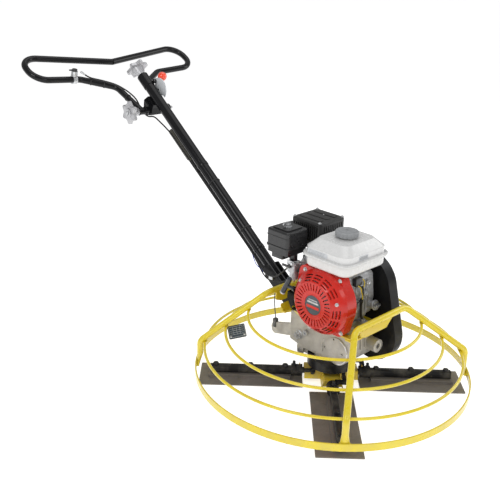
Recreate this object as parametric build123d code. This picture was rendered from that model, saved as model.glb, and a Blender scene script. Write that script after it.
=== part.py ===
from build123d import *
import math
import os

# A walk-behind power trowel: a round guard, a four-blade rotor under a worm gearbox,
# a small petrol engine on the deck and a long tube handle with a loop handlebar.
# Millimetres, +Z up, floor at z = 0. The operator stands at -Y and faces +Y.
# Everything is laid out about the rotor axis and moved by ROTOR_Y when it is written,
# which puts the origin at the bottom centre of the whole machine.

ROTOR_Y = 445.0

# ---------------------------------------------------------------- driving sizes
HOOP_R, HOOP_T, HOOP_Z, HOOP_H = 480.0, 5.0, 36.0, 26.0
RING_RADII = (446.0, 374.0, 297.0)
RING_WIRE = 5.0
BAIL_R, BAIL_WALL = 11.0, 2.5
BAIL_X, BAIL_Y, BAIL_Z = 134.0, 195.0, 308.0
LEG_X, LEG_Y, LEG_Z = 324.0, 332.0, 133.0
DECK_Z, DECK_T = 236.0, 6.0

ARM_Z = 30.0
ARM_COUNT = 4
BLADE_IN, BLADE_OUT, BLADE_W, BLADE_T = 99.0, 464.0, 149.0, 3.0
BLADE_OFFSET = -4.0
BOLT_RADII = (161.0, 284.0, 407.0)
OUTPUT_R = 15.0
RUN = 0.05

WHEEL_R, WORM_R, WHEEL_TEETH = 42.0, 20.0, 20
WORM_Y, WORM_Z = WHEEL_R + WORM_R, 152.0
GEAR_X = 50.0
CRANK_Y, CRANK_Z = 27.0, 342.0
BELT_X = -122.0
DRUM_R, PULLEY_R = 38.0, 58.0

PIVOT_Y, PIVOT_Z = -105.0, 88.0
PLATE_Z = 62.0
CAP_TOP = 80.0

HANDLE_DEG = 38.0
HANDLE_FOOT = (-190.0, 241.0)
HANDLE_LENGTH = 1133.0
HANDLE_R = 21.0
HANDLE_BOLTS = (40.0, 110.0)
CROSS_Y, CROSS_Z, CROSS_R = -1010.0, 812.0, 15.0
GRIP_R = 13.0
SWITCH_AT = (224.0, -1243.44, 923.82)
THROTTLE_AT = (-1006.0, 892.0)

cos_h = math.cos(math.radians(HANDLE_DEG))
sin_h = math.sin(math.radians(HANDLE_DEG))


# ---------------------------------------------------------------- helpers
def write(shape, node):
    """Writes one sub-part, moved into the machine's frame."""
    export_step(Pos(0, ROTOR_Y, 0) * shape, f"parts/{node}.step")


def rod(start, end, radius, bore=0.0):
    """A round bar or tube between two points."""
    start = Vector(*start)
    end = Vector(*end)
    plane = Plane(origin=start, z_dir=end - start)
    profile = Circle(radius)
    if bore:
        profile -= Circle(bore)
    return extrude(plane * profile, (end - start).length)


def tube(points, bends, radius, wall=0.0):
    """A bent round bar or tube along straight runs joined by arcs."""
    path = FilletPolyline(*points, radius=bends)
    profile = Circle(radius)
    if wall:
        profile -= Circle(radius - wall)
    return sweep(Plane(origin=path @ 0, z_dir=path % 0) * profile, path=path)


def block(x, y, z):
    """A box from three pairs of limits."""
    size = Box(x[1] - x[0], y[1] - y[0], z[1] - z[0])
    return Pos((x[0] + x[1]) / 2, (y[0] + y[1]) / 2, (z[0] + z[1]) / 2) * size


def side_plate(outline, x0, x1, radius=0.0):
    """A plate in the Y-Z plane between two X values."""
    face = make_face(Polyline(*outline, close=True))
    if radius:
        face = fillet(face.vertices(), radius)
    plane = Plane(origin=(x0, 0, 0), x_dir=(0, 1, 0), z_dir=(1, 0, 0))
    return extrude(plane * face, x1 - x0)


def side_rod(y, z, radius, x0, x1, bore=0.0):
    """A round bar along X at one place in the Y-Z plane."""
    return rod((x0, y, z), (x1, y, z), radius, bore)


def upright(x, y, radius, z0, z1, bore=0.0):
    """A round bar along Z."""
    return rod((x, y, z0), (x, y, z1), radius, bore)


def hexagon(start, end, across):
    """A hexagon bar between two points, sized across its flats."""
    start = Vector(*start)
    end = Vector(*end)
    plane = Plane(origin=start, z_dir=end - start)
    return extrude(plane * RegularPolygon(across / math.sqrt(3), 6), (end - start).length)


def on_handle(along, above, x=0.0):
    """A point given by its distance along the handle tube and its height off it."""
    y = HANDLE_FOOT[0] - along * cos_h + above * sin_h
    z = HANDLE_FOOT[1] + along * sin_h + above * cos_h
    return (x, y, z)


def mirror_x(shape):
    return mirror(shape, about=Plane.YZ)


def star_face(outer, inner, lobes):
    """The outline of a lobed hand knob."""
    corners = []
    for k in range(2 * lobes):
        reach = outer if k % 2 == 0 else inner
        turn = math.pi * k / lobes
        corners.append((reach * math.cos(turn), reach * math.sin(turn)))
    face = make_face(Polyline(*corners, close=True))
    tips = face.vertices().filter_by(lambda v: v.center().length > (outer + inner) / 2)
    face = fillet(tips, 8)
    roots = face.vertices().filter_by(lambda v: v.center().length < inner + 0.5)
    return fillet(roots, 8)


def star_knob(base, axis, neck, stud_r, stud_length):
    """A cast star knob whose stud points back from its neck."""
    plane = Plane(origin=base, z_dir=axis)
    wheel = extrude(star_face(52, 33, 6), 14)
    wheel = fillet(wheel.edges().group_by(Axis.Z)[-1], 3)
    wheel = Pos(0, 0, neck) * wheel
    cone = loft([Circle(14).face(), Pos(0, 0, neck + 4) * Circle(27).face()])
    stud = Pos(0, 0, -stud_length) * extrude(Circle(stud_r), stud_length + 5)
    crown = Pos(0, 0, neck + 14) * extrude(Circle(19), 3)
    return plane.location * (wheel + cone + stud + crown)


# ---------------------------------------------------------------- guard and deck
def leg_point(radius):
    """Where a leg's straight stretch passes a given distance from the rotor axis."""
    run_x = BAIL_X - LEG_X
    run_y = BAIL_Y - LEG_Y
    low, high = 0.0, 1.0
    for _ in range(40):
        mid = (low + high) / 2
        if math.hypot(LEG_X + run_x * mid, LEG_Y + run_y * mid) > radius:
            low = mid
        else:
            high = mid
    return LEG_Z + (BAIL_Z - LEG_Z) * low


def guard_hoop():
    band = extrude(Circle(HOOP_R) - Circle(HOOP_R - HOOP_T), HOOP_H)
    return Pos(0, 0, HOOP_Z) * fillet(band.edges(), 1.2)


def guard_rings():
    slope = (BAIL_Z - LEG_Z) / math.hypot(BAIL_X - LEG_X, BAIL_Y - LEG_Y)
    drop = (BAIL_R + RING_WIRE - 0.5) * math.sqrt(1 + slope**2)
    rings = []
    for radius in RING_RADII:
        rings.append(Pos(0, 0, leg_point(radius) - drop) * Torus(radius, RING_WIRE))
    return rings


def bail():
    """One bent tube with two legs, whose crushed ends are welded inside the hoop."""
    crush_z = 84.0
    points = [
        (-LEG_X, LEG_Y, crush_z),
        (-LEG_X, LEG_Y, LEG_Z),
        (-BAIL_X, BAIL_Y, BAIL_Z),
        (BAIL_X, BAIL_Y, BAIL_Z),
        (LEG_X, LEG_Y, LEG_Z),
        (LEG_X, LEG_Y, crush_z),
    ]
    body = tube(points, [30, 48, 48, 30], BAIL_R, BAIL_WALL)
    angle = math.degrees(math.atan2(LEG_Y, LEG_X))
    reach = math.hypot(LEG_X, LEG_Y)
    top = Plane(origin=(reach, 0, crush_z)) * Circle(BAIL_R)
    flat = HOOP_R - HOOP_T - 4.3 - reach
    foot = Plane(origin=(reach + flat, 0, HOOP_Z + 3)) * RectangleRounded(8, 36, 3.5)
    crushed = loft([top.face(), foot.face()])
    body += Rot(0, 0, angle) * crushed
    body += Rot(0, 0, 180 - angle) * crushed
    return body


def deck_plate():
    outline = [(78, 138), (78, -75), (40, -165), (-98, -165), (-98, 138)]
    face = fillet(make_face(Polyline(*outline, close=True)).vertices(), 12)
    plate = Pos(0, 0, DECK_Z - DECK_T) * extrude(face, DECK_T)
    for x, y in ENGINE_BOLTS:
        plate -= upright(x, y, 4.6, DECK_Z - 10, DECK_Z + 4)
    return plate


def bail_bracket(start, bend):
    """A bent plate from under the deck's end up to the underside of a bail."""
    t = 5.0
    run = [(start, 230), (bend, 230), (186, 266), (186, 301), (191, 301), (191, 263.6), (bend + 2, 225), (start, 225)]
    bent = side_plate(run, -62, 80)
    ramp = [(180, 240), (210, 240), (210, 310), (180, 310)]
    trim = make_face(Polyline((96, 302), (96, 272), (72, 262), (-40, 262), (-78, 298), (-78, 302), close=True))
    flange = Pos(0, 186 + t, 0) * extrude(Plane.XZ * trim, t)
    bent -= side_plate(ramp, -90, 100)
    bent += flange
    bail_tube = rod((-120, BAIL_Y, BAIL_Z), (120, BAIL_Y, BAIL_Z), BAIL_R + 0.1)
    return bent - bail_tube


def rear_bracket():
    """The back bracket, cut away where the handle's foot passes through."""
    plate = mirror(bail_bracket(157, 168), about=Plane.XZ)
    return plate - block((-40, 40), (-215, -150), (215, 290))


def label_plate():
    """A small blank plate hung on one rear leg between the two inner rings."""
    centre = Vector(222, -252, 164)
    plane = Plane(origin=centre, x_dir=(0.75, -0.62, -0.22), z_dir=(0.55, 0.55, 0.63))
    face = RectangleRounded(62, 48, 4)
    for x in (-24, 24):
        face -= Pos(x, 17) * Circle(2)
    return extrude(plane * face, 2)


# ---------------------------------------------------------------- gearbox
def gearbox_housing():
    outline = [(-155, 229.6), (-155, 118), (-122, 112), (-112, 104), (50, 104), (100, 120), (112, 150), (112, 229.6)]
    case = side_plate(outline, -GEAR_X, GEAR_X, 6)
    case += side_rod(WORM_Y, WORM_Z, 50, -88, GEAR_X + 3)
    case += side_rod(WORM_Y, WORM_Z, 30, -98, -88)
    case += upright(0, 0, 60, 100, 110)
    for side in (-1, 1):
        x0, x1 = sorted((side * 42, side * GEAR_X))
        lug = side_plate([(-120, 108), (-118, 78), (-92, 78), (-90, 108)], x0, x1, 4)
        case += lug - side_rod(PIVOT_Y, PIVOT_Z, 6.05, x0 - 1, x1 + 1)
    case += rod((-62, 100, 168), (-62, 150, 168), 24)
    case -= rod((-62, 118, 168), (-62, 151, 168), 9)
    case -= upright(0, 0, 50, 128, 176)
    case -= side_rod(WORM_Y, WORM_Z, 27, -70, 40)
    case -= side_rod(WORM_Y, WORM_Z, 12 + RUN, -100, GEAR_X - 4)
    case -= upright(0, 0, OUTPUT_R + RUN, 90, 200)
    for y, z in ((48, 192), (10, 148), (88, 150)):
        case -= side_rod(y, z, 3.4, GEAR_X - 8, GEAR_X + 8)
    case -= block((-36, 36), (-150, -64), (128, 216))
    return case


def gearbox_bolts():
    nut = hexagon((GEAR_X + 0.2, -111, 150), (GEAR_X + 13, -111, 150), 27)
    nut += side_rod(-111, 150, 8, GEAR_X + 12, GEAR_X + 19)
    nut += side_rod(-111, 150, 17, GEAR_X + 0.2, GEAR_X + 3)
    socket = side_rod(-76, 171, 10, GEAR_X + 0.2, GEAR_X + 12)
    socket -= hexagon((GEAR_X + 6, -76, 171), (GEAR_X + 13, -76, 171), 8)
    solids = [nut, socket]
    for x, y, seat in ((-42, -130, 242.2), (42, -130, 242.2), (7, 104, DECK_Z + 0.2)):
        solids.append(hexagon((x, y, seat), (x, y, seat + 8), 17))
    return solids


def worm_shaft():
    pitch = 2 * math.pi * WHEEL_R / WHEEL_TEETH
    core = side_rod(WORM_Y, WORM_Z, 16, -33, 33)
    shaft = side_rod(WORM_Y, WORM_Z, 12, -139, 44)
    steps = 12
    turns = 4
    wedge = make_face(Polyline((0, 0), (40, 0), (40, 40 * math.tan(2 * math.pi / 12)), close=True))
    sector = extrude(Plane.YZ * ((Circle(24) - Circle(15.5)) & wedge), 2.0, both=True)
    thread = []
    for k in range(steps * turns):
        x = pitch * ((k + 0.5) / steps - turns / 2 + 0.5)
        if abs(x) < 31:
            thread.append(Pos(x, WORM_Y, WORM_Z) * Rot(360.0 * k / steps + 180, 0, 0) * sector)
    whole = (core + shaft).fuse(*thread)
    return whole.solids().sort_by(SortBy.VOLUME)[-1]


def worm_wheel():
    blank = upright(0, 0, 37, WORM_Z - 11, WORM_Z + 11, OUTPUT_R)
    tooth = block((-2.6, 2.6), (36, 44.4), (WORM_Z - 11, WORM_Z + 11))
    teeth = [Rot(0, 0, 360.0 * k / WHEEL_TEETH) * tooth for k in range(WHEEL_TEETH)]
    return blank.fuse(*teeth)


def output_shaft():
    shaft = upright(0, 0, OUTPUT_R, 8, 196)
    nut = hexagon((0, 0, 9), (0, 0, 17.5), 40)
    return shaft + nut


def dust_shroud():
    """A fixed ring round the thrust parts, open at the back for the yoke."""
    ring = upright(0, 0, 84, 66, 99.6, 81)
    ring += upright(0, 0, 84, 96.6, 99.6, 62)
    return ring - block((-56, 56), (-90, -30), (60, 96))


def pulley(y, z, radius, x, bore, width=18.0):
    wheel = side_rod(y, z, radius, x - width / 2, x + width / 2)
    groove = Plane(origin=(x, y, z), x_dir=(0, 1, 0), z_dir=(-1, 0, 0))
    outline = make_face(
        Polyline(
            (radius - 10, -4.6),
            (radius + 1, -7.4),
            (radius + 1, 7.4),
            (radius - 10, 4.6),
            close=True,
        )
    )
    cut = revolve(Plane(origin=(x, y, z), x_dir=(0, 0, 1), z_dir=(0, 1, 0)) * outline, Axis((x, y, z), (1, 0, 0)))
    wheel -= cut
    hole = extrude(groove * Circle(bore), width + 40, both=True)
    return wheel - hole


def v_belt():
    """The belt's closed loop, seated in both grooves with running room."""

    def loop(extra, half_width):
        top = Pos(CRANK_Y, CRANK_Z) * Circle(DRUM_R + extra)
        low = Pos(WORM_Y, WORM_Z) * Circle(PULLEY_R + extra)
        wrap = make_hull(top.edges() + low.edges())
        plane = Plane(origin=(BELT_X - half_width, 0, 0), x_dir=(0, 1, 0), z_dir=(1, 0, 0))
        return extrude(plane * wrap, 2 * half_width)

    return loop(-1.5, 4.0) - loop(-9.0, 5.0)


def belt_outline(grow):
    top = Pos(CRANK_Y - 2, CRANK_Z + 3) * Circle(118 + grow)
    low = Pos(WORM_Y + 20, WORM_Z + 30) * Circle(103 + grow)
    return make_hull(top.edges() + low.edges())


def belt_cover():
    """Back plate and outer pressing of the belt guard, hollow inside."""
    flip = Plane(origin=(-108, 0, 0), x_dir=(0, 1, 0), z_dir=(1, 0, 0))
    shell = extrude(flip * belt_outline(0), -52)
    shell = fillet(shell.edges().group_by(Axis.X)[0], 12)
    shell -= extrude(flip.offset(-3) * belt_outline(-4), -44)
    shell -= side_rod(CRANK_Y, CRANK_Z, 46, -112, -104)
    shell -= side_rod(WORM_Y, WORM_Z, 34, -112, -104)
    for k in range(5):
        slot = side_plate(
            [(50 + 12 * k, 290), (54 + 12 * k, 290), (54 + 12 * k, 240), (50 + 12 * k, 240)],
            -165,
            -154,
        )
        shell -= slot
    return shell


# ---------------------------------------------------------------- rotor
def trapezoid(z0, z1, low_half, high_half):
    return make_face(Polyline((-low_half, z0), (low_half, z0), (high_half, z1), (-high_half, z1), close=True))


def spider():
    """Hub with four hat-section sockets, each with two bearing webs."""
    hub = upright(0, 0, 32, 18, 46)
    outer = extrude(Plane(origin=(20, 0, 0), x_dir=(0, 1, 0), z_dir=(1, 0, 0)) * trapezoid(18, 46, 38, 28), 74)
    inner = extrude(Plane(origin=(34, 0, 0), x_dir=(0, 1, 0), z_dir=(1, 0, 0)) * trapezoid(10, 42.5, 36.5, 24.6), 70)
    web_face = trapezoid(20, 44, 33.6, 25.0) - Pos(0, ARM_Z) * Circle(11 + RUN)
    webs = []
    for x in (44, 84):
        webs.append(extrude(Plane(origin=(x, 0, 0), x_dir=(0, 1, 0), z_dir=(1, 0, 0)) * web_face, 8))
    body = hub
    for k in range(ARM_COUNT):
        body += Rot(0, 0, 45 + 90 * k) * outer
    for k in range(ARM_COUNT):
        body -= Rot(0, 0, 45 + 90 * k) * inner
    body += hub
    for k in range(ARM_COUNT):
        for web in webs:
            body += Rot(0, 0, 45 + 90 * k) * web
    return body - upright(0, 0, OUTPUT_R, 0, 80)


def pressure_plate():
    plate = upright(0, 0, 79, PLATE_Z, PLATE_Z + 6)
    plate = fillet(plate.edges(), 2)
    plate += upright(0, 0, 28, PLATE_Z + 3, PLATE_Z + 15)
    return plate - upright(0, 0, OUTPUT_R + RUN, 50, 90)


def thrust_cap():
    ring = upright(0, 0, 48, PLATE_Z + 6.4, CAP_TOP)
    ring = fillet(ring.edges().group_by(Axis.Z)[-1], 3)
    ring -= upright(0, 0, 28 + RUN, 60, PLATE_Z + 15.5)
    return ring - upright(0, 0, OUTPUT_R + 1, 60, 100)


def arm():
    """One trowel arm along +X: journal, collar, blade bar and pitch finger."""
    shaft = rod((36, 0, ARM_Z), (101, 0, ARM_Z), 11)
    collar = rod((100, 0, ARM_Z), (140, 0, ARM_Z), 21)
    collar = fillet(collar.edges(), 2.5)
    bar = block((138, 425), (-13, 13), (ARM_Z - 14, ARM_Z + 14))
    bar = fillet(bar.edges().filter_by(Axis.X), 8)
    finger = block((104, 120), (6, 46), (ARM_Z + 16, ARM_Z + 27))
    finger += block((57, 120), (33, 46), (ARM_Z + 18, ARM_Z + 27))
    for radius in BOLT_RADII:
        bar -= upright(radius, 0, 5.2, 0, 60)
    finger -= upright(66, 39.5, 4.2, 30, 70)
    return shaft + collar + bar + finger


def blade():
    """One steel trowel blade along +X with its welded stiffener channel."""
    low = BLADE_OFFSET - BLADE_W / 2
    plate = block((BLADE_IN, BLADE_OUT), (low, low + BLADE_W), (0, BLADE_T))
    plate = fillet(plate.edges().filter_by(Axis.Z), 3)
    channel = block((143, 432), (-23, 23), (BLADE_T, ARM_Z - 14.2))
    channel -= block((141, 434), (-19, 19), (BLADE_T + 0.01, ARM_Z - 18.2))
    seats = [upright(radius, 0, 9, BLADE_T, ARM_Z - 15) for radius in BOLT_RADII]
    body = plate + channel
    for seat in seats:
        body += seat
    for radius in BOLT_RADII:
        body -= upright(radius, 0, 5.2, BLADE_T + 1, 40)
    return body


def arm_bolts():
    """The three blade bolts and the finger's adjusting screw of one arm."""
    solids = []
    for radius in BOLT_RADII:
        bolt = upright(radius, 0, 5, BLADE_T + 2, ARM_Z + 15)
        bolt += hexagon((radius, 0, ARM_Z + 14.2), (radius, 0, ARM_Z + 21), 17)
        solids.append(bolt)
    screw = upright(66, 39.5, 4, ARM_Z + 12, ARM_Z + 29)
    screw += hexagon((66, 39.5, ARM_Z + 27.2), (66, 39.5, ARM_Z + 30.5), 13)
    screw += hexagon((66, 39.5, ARM_Z + 10), (66, 39.5, ARM_Z + 17.8), 13)
    solids.append(screw)
    return solids


# ---------------------------------------------------------------- pitch linkage
def yoke_lever():
    """Fork over the thrust cap, pivot tube and the flat lever that the cable lifts."""
    hub = side_rod(PIVOT_Y, PIVOT_Z, 12, -41, 41)
    side = [(-112, 94), (-98, 96), (-20, 96), (0, 90), (2, CAP_TOP + 0.6), (-8, CAP_TOP + 0.6), (-60, 82), (-112, 82)]
    fork = side_plate(side, 33, 41) + side_plate(side, -41, -33)
    rear = [(-105, 99), (-100, 78), (-128, 84), (-165, 104), (-276, 75), (-290, 82), (-294, 100), (-288, 116)]
    rear += [(-270, 122), (-182, 150), (-170, 146), (-166, 128), (-160, 110), (-150, 106), (-128, 104)]
    lever = side_plate(rear, -5, 5)
    lever = fillet(lever.edges().filter_by(Axis.X).sort_by(Axis.Y)[:7], 6)
    body = hub + fork + lever
    body -= side_rod(PIVOT_Y, PIVOT_Z, 6 + RUN, -45, 45)
    return body - side_rod(-278, 108, 4.5, -10, 10)


def yoke_pin():
    pin = side_rod(PIVOT_Y, PIVOT_Z, 6, -52, 52)
    pin += side_rod(PIVOT_Y, PIVOT_Z, 9, 50.3, 54)
    return pin + side_rod(PIVOT_Y, PIVOT_Z, 9, -54, -50.3)


def pitch_cable():
    """Steel cable out of the lower handle tube and down to the lever's eye."""
    start = on_handle(160, -33)
    bend = on_handle(96, -33)
    points = [start, bend, (0, -287, 200), (0, -278, 132)]
    cable = tube(points, [18, 60], 2.0)
    fork = block((-8, 8), (-285, -271), (125, 134))
    for x in (-8.0, 5.4):
        fork += block((x, x + 2.6), (-285, -271), (101, 126))
    fork += side_rod(-278, 108, 4.2, -9, 9)
    return cable + fork


def pitch_handwheel():
    return star_knob(on_handle(HANDLE_LENGTH + 1, 0), (0, -cos_h, sin_h), 36, 8, 150)


# ---------------------------------------------------------------- handle
def handle_tube():
    foot = on_handle(0, 0)
    end = on_handle(HANDLE_LENGTH, 0)
    body = rod(foot, end, HANDLE_R, HANDLE_R - 3)
    plug = rod(on_handle(HANDLE_LENGTH - 14, 0), end, HANDLE_R - 1, 8 + RUN)
    body += plug
    body += rod(on_handle(HANDLE_LENGTH - 60, 0), on_handle(HANDLE_LENGTH - 2, 0), HANDLE_R + 2, HANDLE_R - 1)
    for along in HANDLE_BOLTS:
        _, y, z = on_handle(along, 0)
        body -= side_rod(y, z, 6.2, -40, 40)
    return body + clamp_block()


def lower_tube():
    """The thinner tube under the main one, which guides the pitch cable."""
    return rod(on_handle(100, -33), on_handle(700, -33), 8, 5)


def spring_tube():
    """The return spring's housing, with its end collar."""
    body = rod(on_handle(715, -38), on_handle(866, -38), 13)
    body = fillet(body.edges(), 2.5)
    return body + rod(on_handle(701, -38), on_handle(716, -38), 9)


def tube_clips():
    """Saddles that tie the lower tube to the main one."""
    solids = []
    for along in (230, 640):
        saddle = rod(on_handle(along, -33), on_handle(along + 14, -33), 11, 8.1)
        plane = Plane(origin=on_handle(along, 0), x_dir=(1, 0, 0), z_dir=(0, -cos_h, sin_h))
        strap = extrude(plane * Pos(0, 22) * Rectangle(7, 8), 14)
        strap_low = extrude(plane * Pos(0, -22) * Rectangle(7, 8), 14)
        keep = strap if strap.center().Z < strap_low.center().Z else strap_low
        keep -= rod(on_handle(along - 5, 0), on_handle(along + 20, 0), HANDLE_R + 0.2)
        keep -= rod(on_handle(along - 5, -33), on_handle(along + 20, -33), 9)
        solids.append(saddle + keep)
    return solids


def handle_bracket():
    """Two cheek plates that carry the handle's foot on the deck's tail."""
    outline = [(-100, 236.3), (-167, 236.3), (-182, 214), (-214, 228), (-312, 306)]
    outline += [(-322, 342), (-300, 352), (-206, 282), (-100, 262)]
    cheek = side_plate(outline, 22.0, 28.0, 5)
    for along in HANDLE_BOLTS:
        _, y, z = on_handle(along, 0)
        cheek -= side_rod(y, z, 6.2, 10, 40)
    foot = block((22, 56), (-148, -110), (236.3, 242))
    return [cheek + foot, mirror_x(cheek + foot)]


def handle_bolts():
    solids = []
    for along in HANDLE_BOLTS:
        _, y, z = on_handle(along, 0)
        bolt = side_rod(y, z, 6, -33, 33)
        bolt += hexagon((28.2, y, z), (36, y, z), 19)
        bolt += hexagon((-36, y, z), (-28.2, y, z), 19)
        solids.append(bolt)
    return solids


def grip_points():
    side = [
        (60, CROSS_Y, CROSS_Z),
        (72, -1164, 889),
        (196, -1244, 922),
        (396, -1240, 935),
        (396, -1371, 1008),
        (0, -1301, 973),
    ]
    return side


def handlebar():
    """The closed loop bar, welded to the cross tube that it tilts on."""
    side = grip_points()
    bends = [40, 40, 62, 62]
    half = FilletPolyline(*side, radius=bends)
    profile = Plane(origin=half @ 0, z_dir=half % 0) * (Circle(GRIP_R) - Circle(GRIP_R - 2.5))
    right = sweep(profile, path=half)
    loop = right + mirror_x(right)
    cross = side_rod(CROSS_Y, CROSS_Z, CROSS_R, -76, 76)
    loop += cross
    return loop - side_rod(CROSS_Y, CROSS_Z, CROSS_R - 3, -80, 80)


def clamp_block():
    """The block under the main tube that holds the handlebar's cross tube."""
    outline = [(-1046, 800), (-1022, 790), (-990, 794), (-984, 822), (-975, 838), (-1012, 868), (-1040, 850)]
    body = side_plate(outline, -26, 26, 3)
    body -= rod(on_handle(900, 0), on_handle(1160, 0), HANDLE_R - 1)
    return body - side_rod(CROSS_Y, CROSS_Z, CROSS_R + RUN, -40, 40)


def clamp_knob():
    return star_knob((78, CROSS_Y, CROSS_Z), (1, 0, 0), 34, 6, 170)


def stop_switch():
    """The clamp of the dead-man switch on the operator's right grip."""
    centre = Vector(*SWITCH_AT)
    along = Vector(200, 4, 13)
    plane = Plane(origin=centre, z_dir=along)
    ring = extrude(plane * (Circle(17.5) - Circle(GRIP_R + 0.1)), 9, both=True)
    housing = rod(centre + Vector(0, 4, 15), centre + Vector(0, 10, 36), 13)
    housing -= rod(centre - along * 0.3, centre + along * 0.3, GRIP_R + 0.1)
    return ring + housing


def stop_lever():
    centre = Vector(*SWITCH_AT)
    body = rod(centre + Vector(0, 10.2, 36.6), centre + Vector(0, 12, 43), 10)
    blade_arm = block((212, 248), (-1239, -1227), (961.5, 966.2))
    return body + fillet(blade_arm.edges().filter_by(Axis.Z), 5)


def throttle_quadrant():
    """The half-disc plate that the throttle lever sweeps over."""
    plane = Plane(origin=(-29, *THROTTLE_AT), x_dir=(0, cos_h, -sin_h), z_dir=(1, 0, 0))
    half = Circle(46) & Pos(0, 23) * Rectangle(100, 46)
    half += Pos(0, -6) * Rectangle(60, 14)
    plate = extrude(plane * half, 4)
    return plate - side_rod(*THROTTLE_AT, 4.05, -40, -10)


def throttle_lever():
    hub = side_rod(*THROTTLE_AT, 12, -38, -29.6)
    pin = side_rod(*THROTTLE_AT, 4, -38, -22.6)
    tip = (-47.5, -1011, 941)
    arm_bar = rod((-34, *THROTTLE_AT), tip, 4)
    ball = Pos(*tip) * Rot(90, 0, 0) * Sphere(18.6)
    return hub + pin + arm_bar + ball


def control_cables():
    """Stop cable from the switch and throttle cable, clipped under the handle."""
    stop = [
        (196, -1229, 953),
        (168, -1217, 930),
        (120, -1184, 917),
        (86, -1146, 904),
        (60, -1104, 880),
        (42, -1072, 852),
        (36, -1042, 806),
        (33, -1008, 786),
        (30, -968, 794),
    ]
    lead = [on_handle(850, -20, 27), on_handle(220, -14, 27)]
    tail = [(48, -290, 322), (70, -222, 340), (80, -178, 374), (81, -141, 413)]
    return wire(stop + lead + tail, 3.0)


def wire(points, radius):
    """A thin cable: each corner's arc is as large as its two runs allow."""
    bends = []
    for k in range(1, len(points) - 1):
        before = Vector(*points[k]) - Vector(*points[k - 1])
        after = Vector(*points[k + 1]) - Vector(*points[k])
        half_turn = math.radians(before.get_angle(after)) / 2
        bends.append(0.42 * min(before.length, after.length) / math.tan(half_turn))
    return tube(points, [min(bend, 900) for bend in bends], radius)


# ---------------------------------------------------------------- engine
ENGINE_BOLTS = [(x, y) for x in (45, -30.5) for y in (101, -61)]


def barrel_plane(along):
    """A plane square to the sloping cylinder's axis."""
    return Plane(origin=(0, -45 - 0.866 * along, 368 + 0.5 * along), x_dir=(1, 0, 0), z_dir=(0, -0.866, 0.5))


def engine_block():
    """Crankcase with its feet, side cover and the finned, sloping cylinder."""
    case = block((-62, 58), (-44, 88), (250, 424))
    case = fillet(case.edges().filter_by(Axis.X), 22)
    cover = side_plate([(-40, 262), (86, 262), (94, 330), (82, 420), (-36, 420)], -88, -62, 18)
    case += cover
    case += side_rod(CRANK_Y, CRANK_Z, 44, -98, -86)
    for x, y in ENGINE_BOLTS:
        toward = 1 if y > 0 else -1
        edge = 80 if toward > 0 else -40
        foot = block((x - 13, x + 13), sorted((edge, y + toward * 13)), (DECK_Z + 0.2, 256))
        case += foot
    case += block((-58, 56), (-40, 84), (DECK_Z + 0.2, 252))
    for x, y in ENGINE_BOLTS:
        case -= upright(x, y, 4.5, DECK_Z - 2, 262)
    case += extrude(barrel_plane(0) * RectangleRounded(84, 80, 8), 62)
    fins = []
    for k in range(6):
        fins.append(extrude(barrel_plane(10 + 9 * k) * RectangleRounded(108, 100, 8), 3))
    case = case.fuse(*fins)
    case -= side_rod(CRANK_Y, CRANK_Z, 16, -100, -80)
    case -= side_rod(CRANK_Y, CRANK_Z, 38, -81, 59)
    rail = rod((-75, 84, 298.4), (-75, 111, 304.4), 14)
    bore = rod((-75, 79, 297.3), (-75, 112, 304.6), 8.8)
    return case + rail - bore


def cylinder_head():
    head = extrude(barrel_plane(62.2) * RectangleRounded(106, 98, 10), 20)
    return head + extrude(barrel_plane(82) * RectangleRounded(82, 66, 12), 18)


def crankshaft():
    """Crankshaft, with the flywheel and fan behind the recoil cover."""
    shaft = side_rod(CRANK_Y, CRANK_Z, 12.5, -146, 92)
    web = side_rod(CRANK_Y, CRANK_Z, 34, -40, 30)
    wheel = side_rod(CRANK_Y, CRANK_Z, 84, 66, 80)
    blades = []
    for k in range(16):
        vane = block((80, 92), (-2, 2), (40, 80))
        blades.append(Pos(0, CRANK_Y, CRANK_Z) * Rot(360.0 * k / 16, 0, 0) * vane)
    return (shaft + web + wheel).fuse(*blades)


def clutch_pulley():
    drum = pulley(CRANK_Y, CRANK_Z, DRUM_R, BELT_X, 12.5)
    bell = side_rod(CRANK_Y, CRANK_Z, 34, -148, -131, 12.5)
    return drum + bell


def gearbox_pulley():
    wheel = pulley(WORM_Y, WORM_Z, PULLEY_R, BELT_X, 12)
    return wheel + side_rod(WORM_Y, WORM_Z, 22, -138, -131, 12)


def arc_slot(inner, outer, start, sweep_deg):
    """A curved slot through the blower housing's sloping face."""
    half = math.radians(sweep_deg / 2)
    reach = 140.0
    wedge = make_face(
        Polyline((0, 0), (reach, -reach * math.tan(half)), (reach, reach * math.tan(half)), close=True)
    )
    face = (Circle(outer) - Circle(inner)) & wedge
    cut = extrude(Plane.YZ.offset(119) * face, 40)
    return Pos(0, CRANK_Y, CRANK_Z) * Rot(start, 0, 0) * cut


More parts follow.
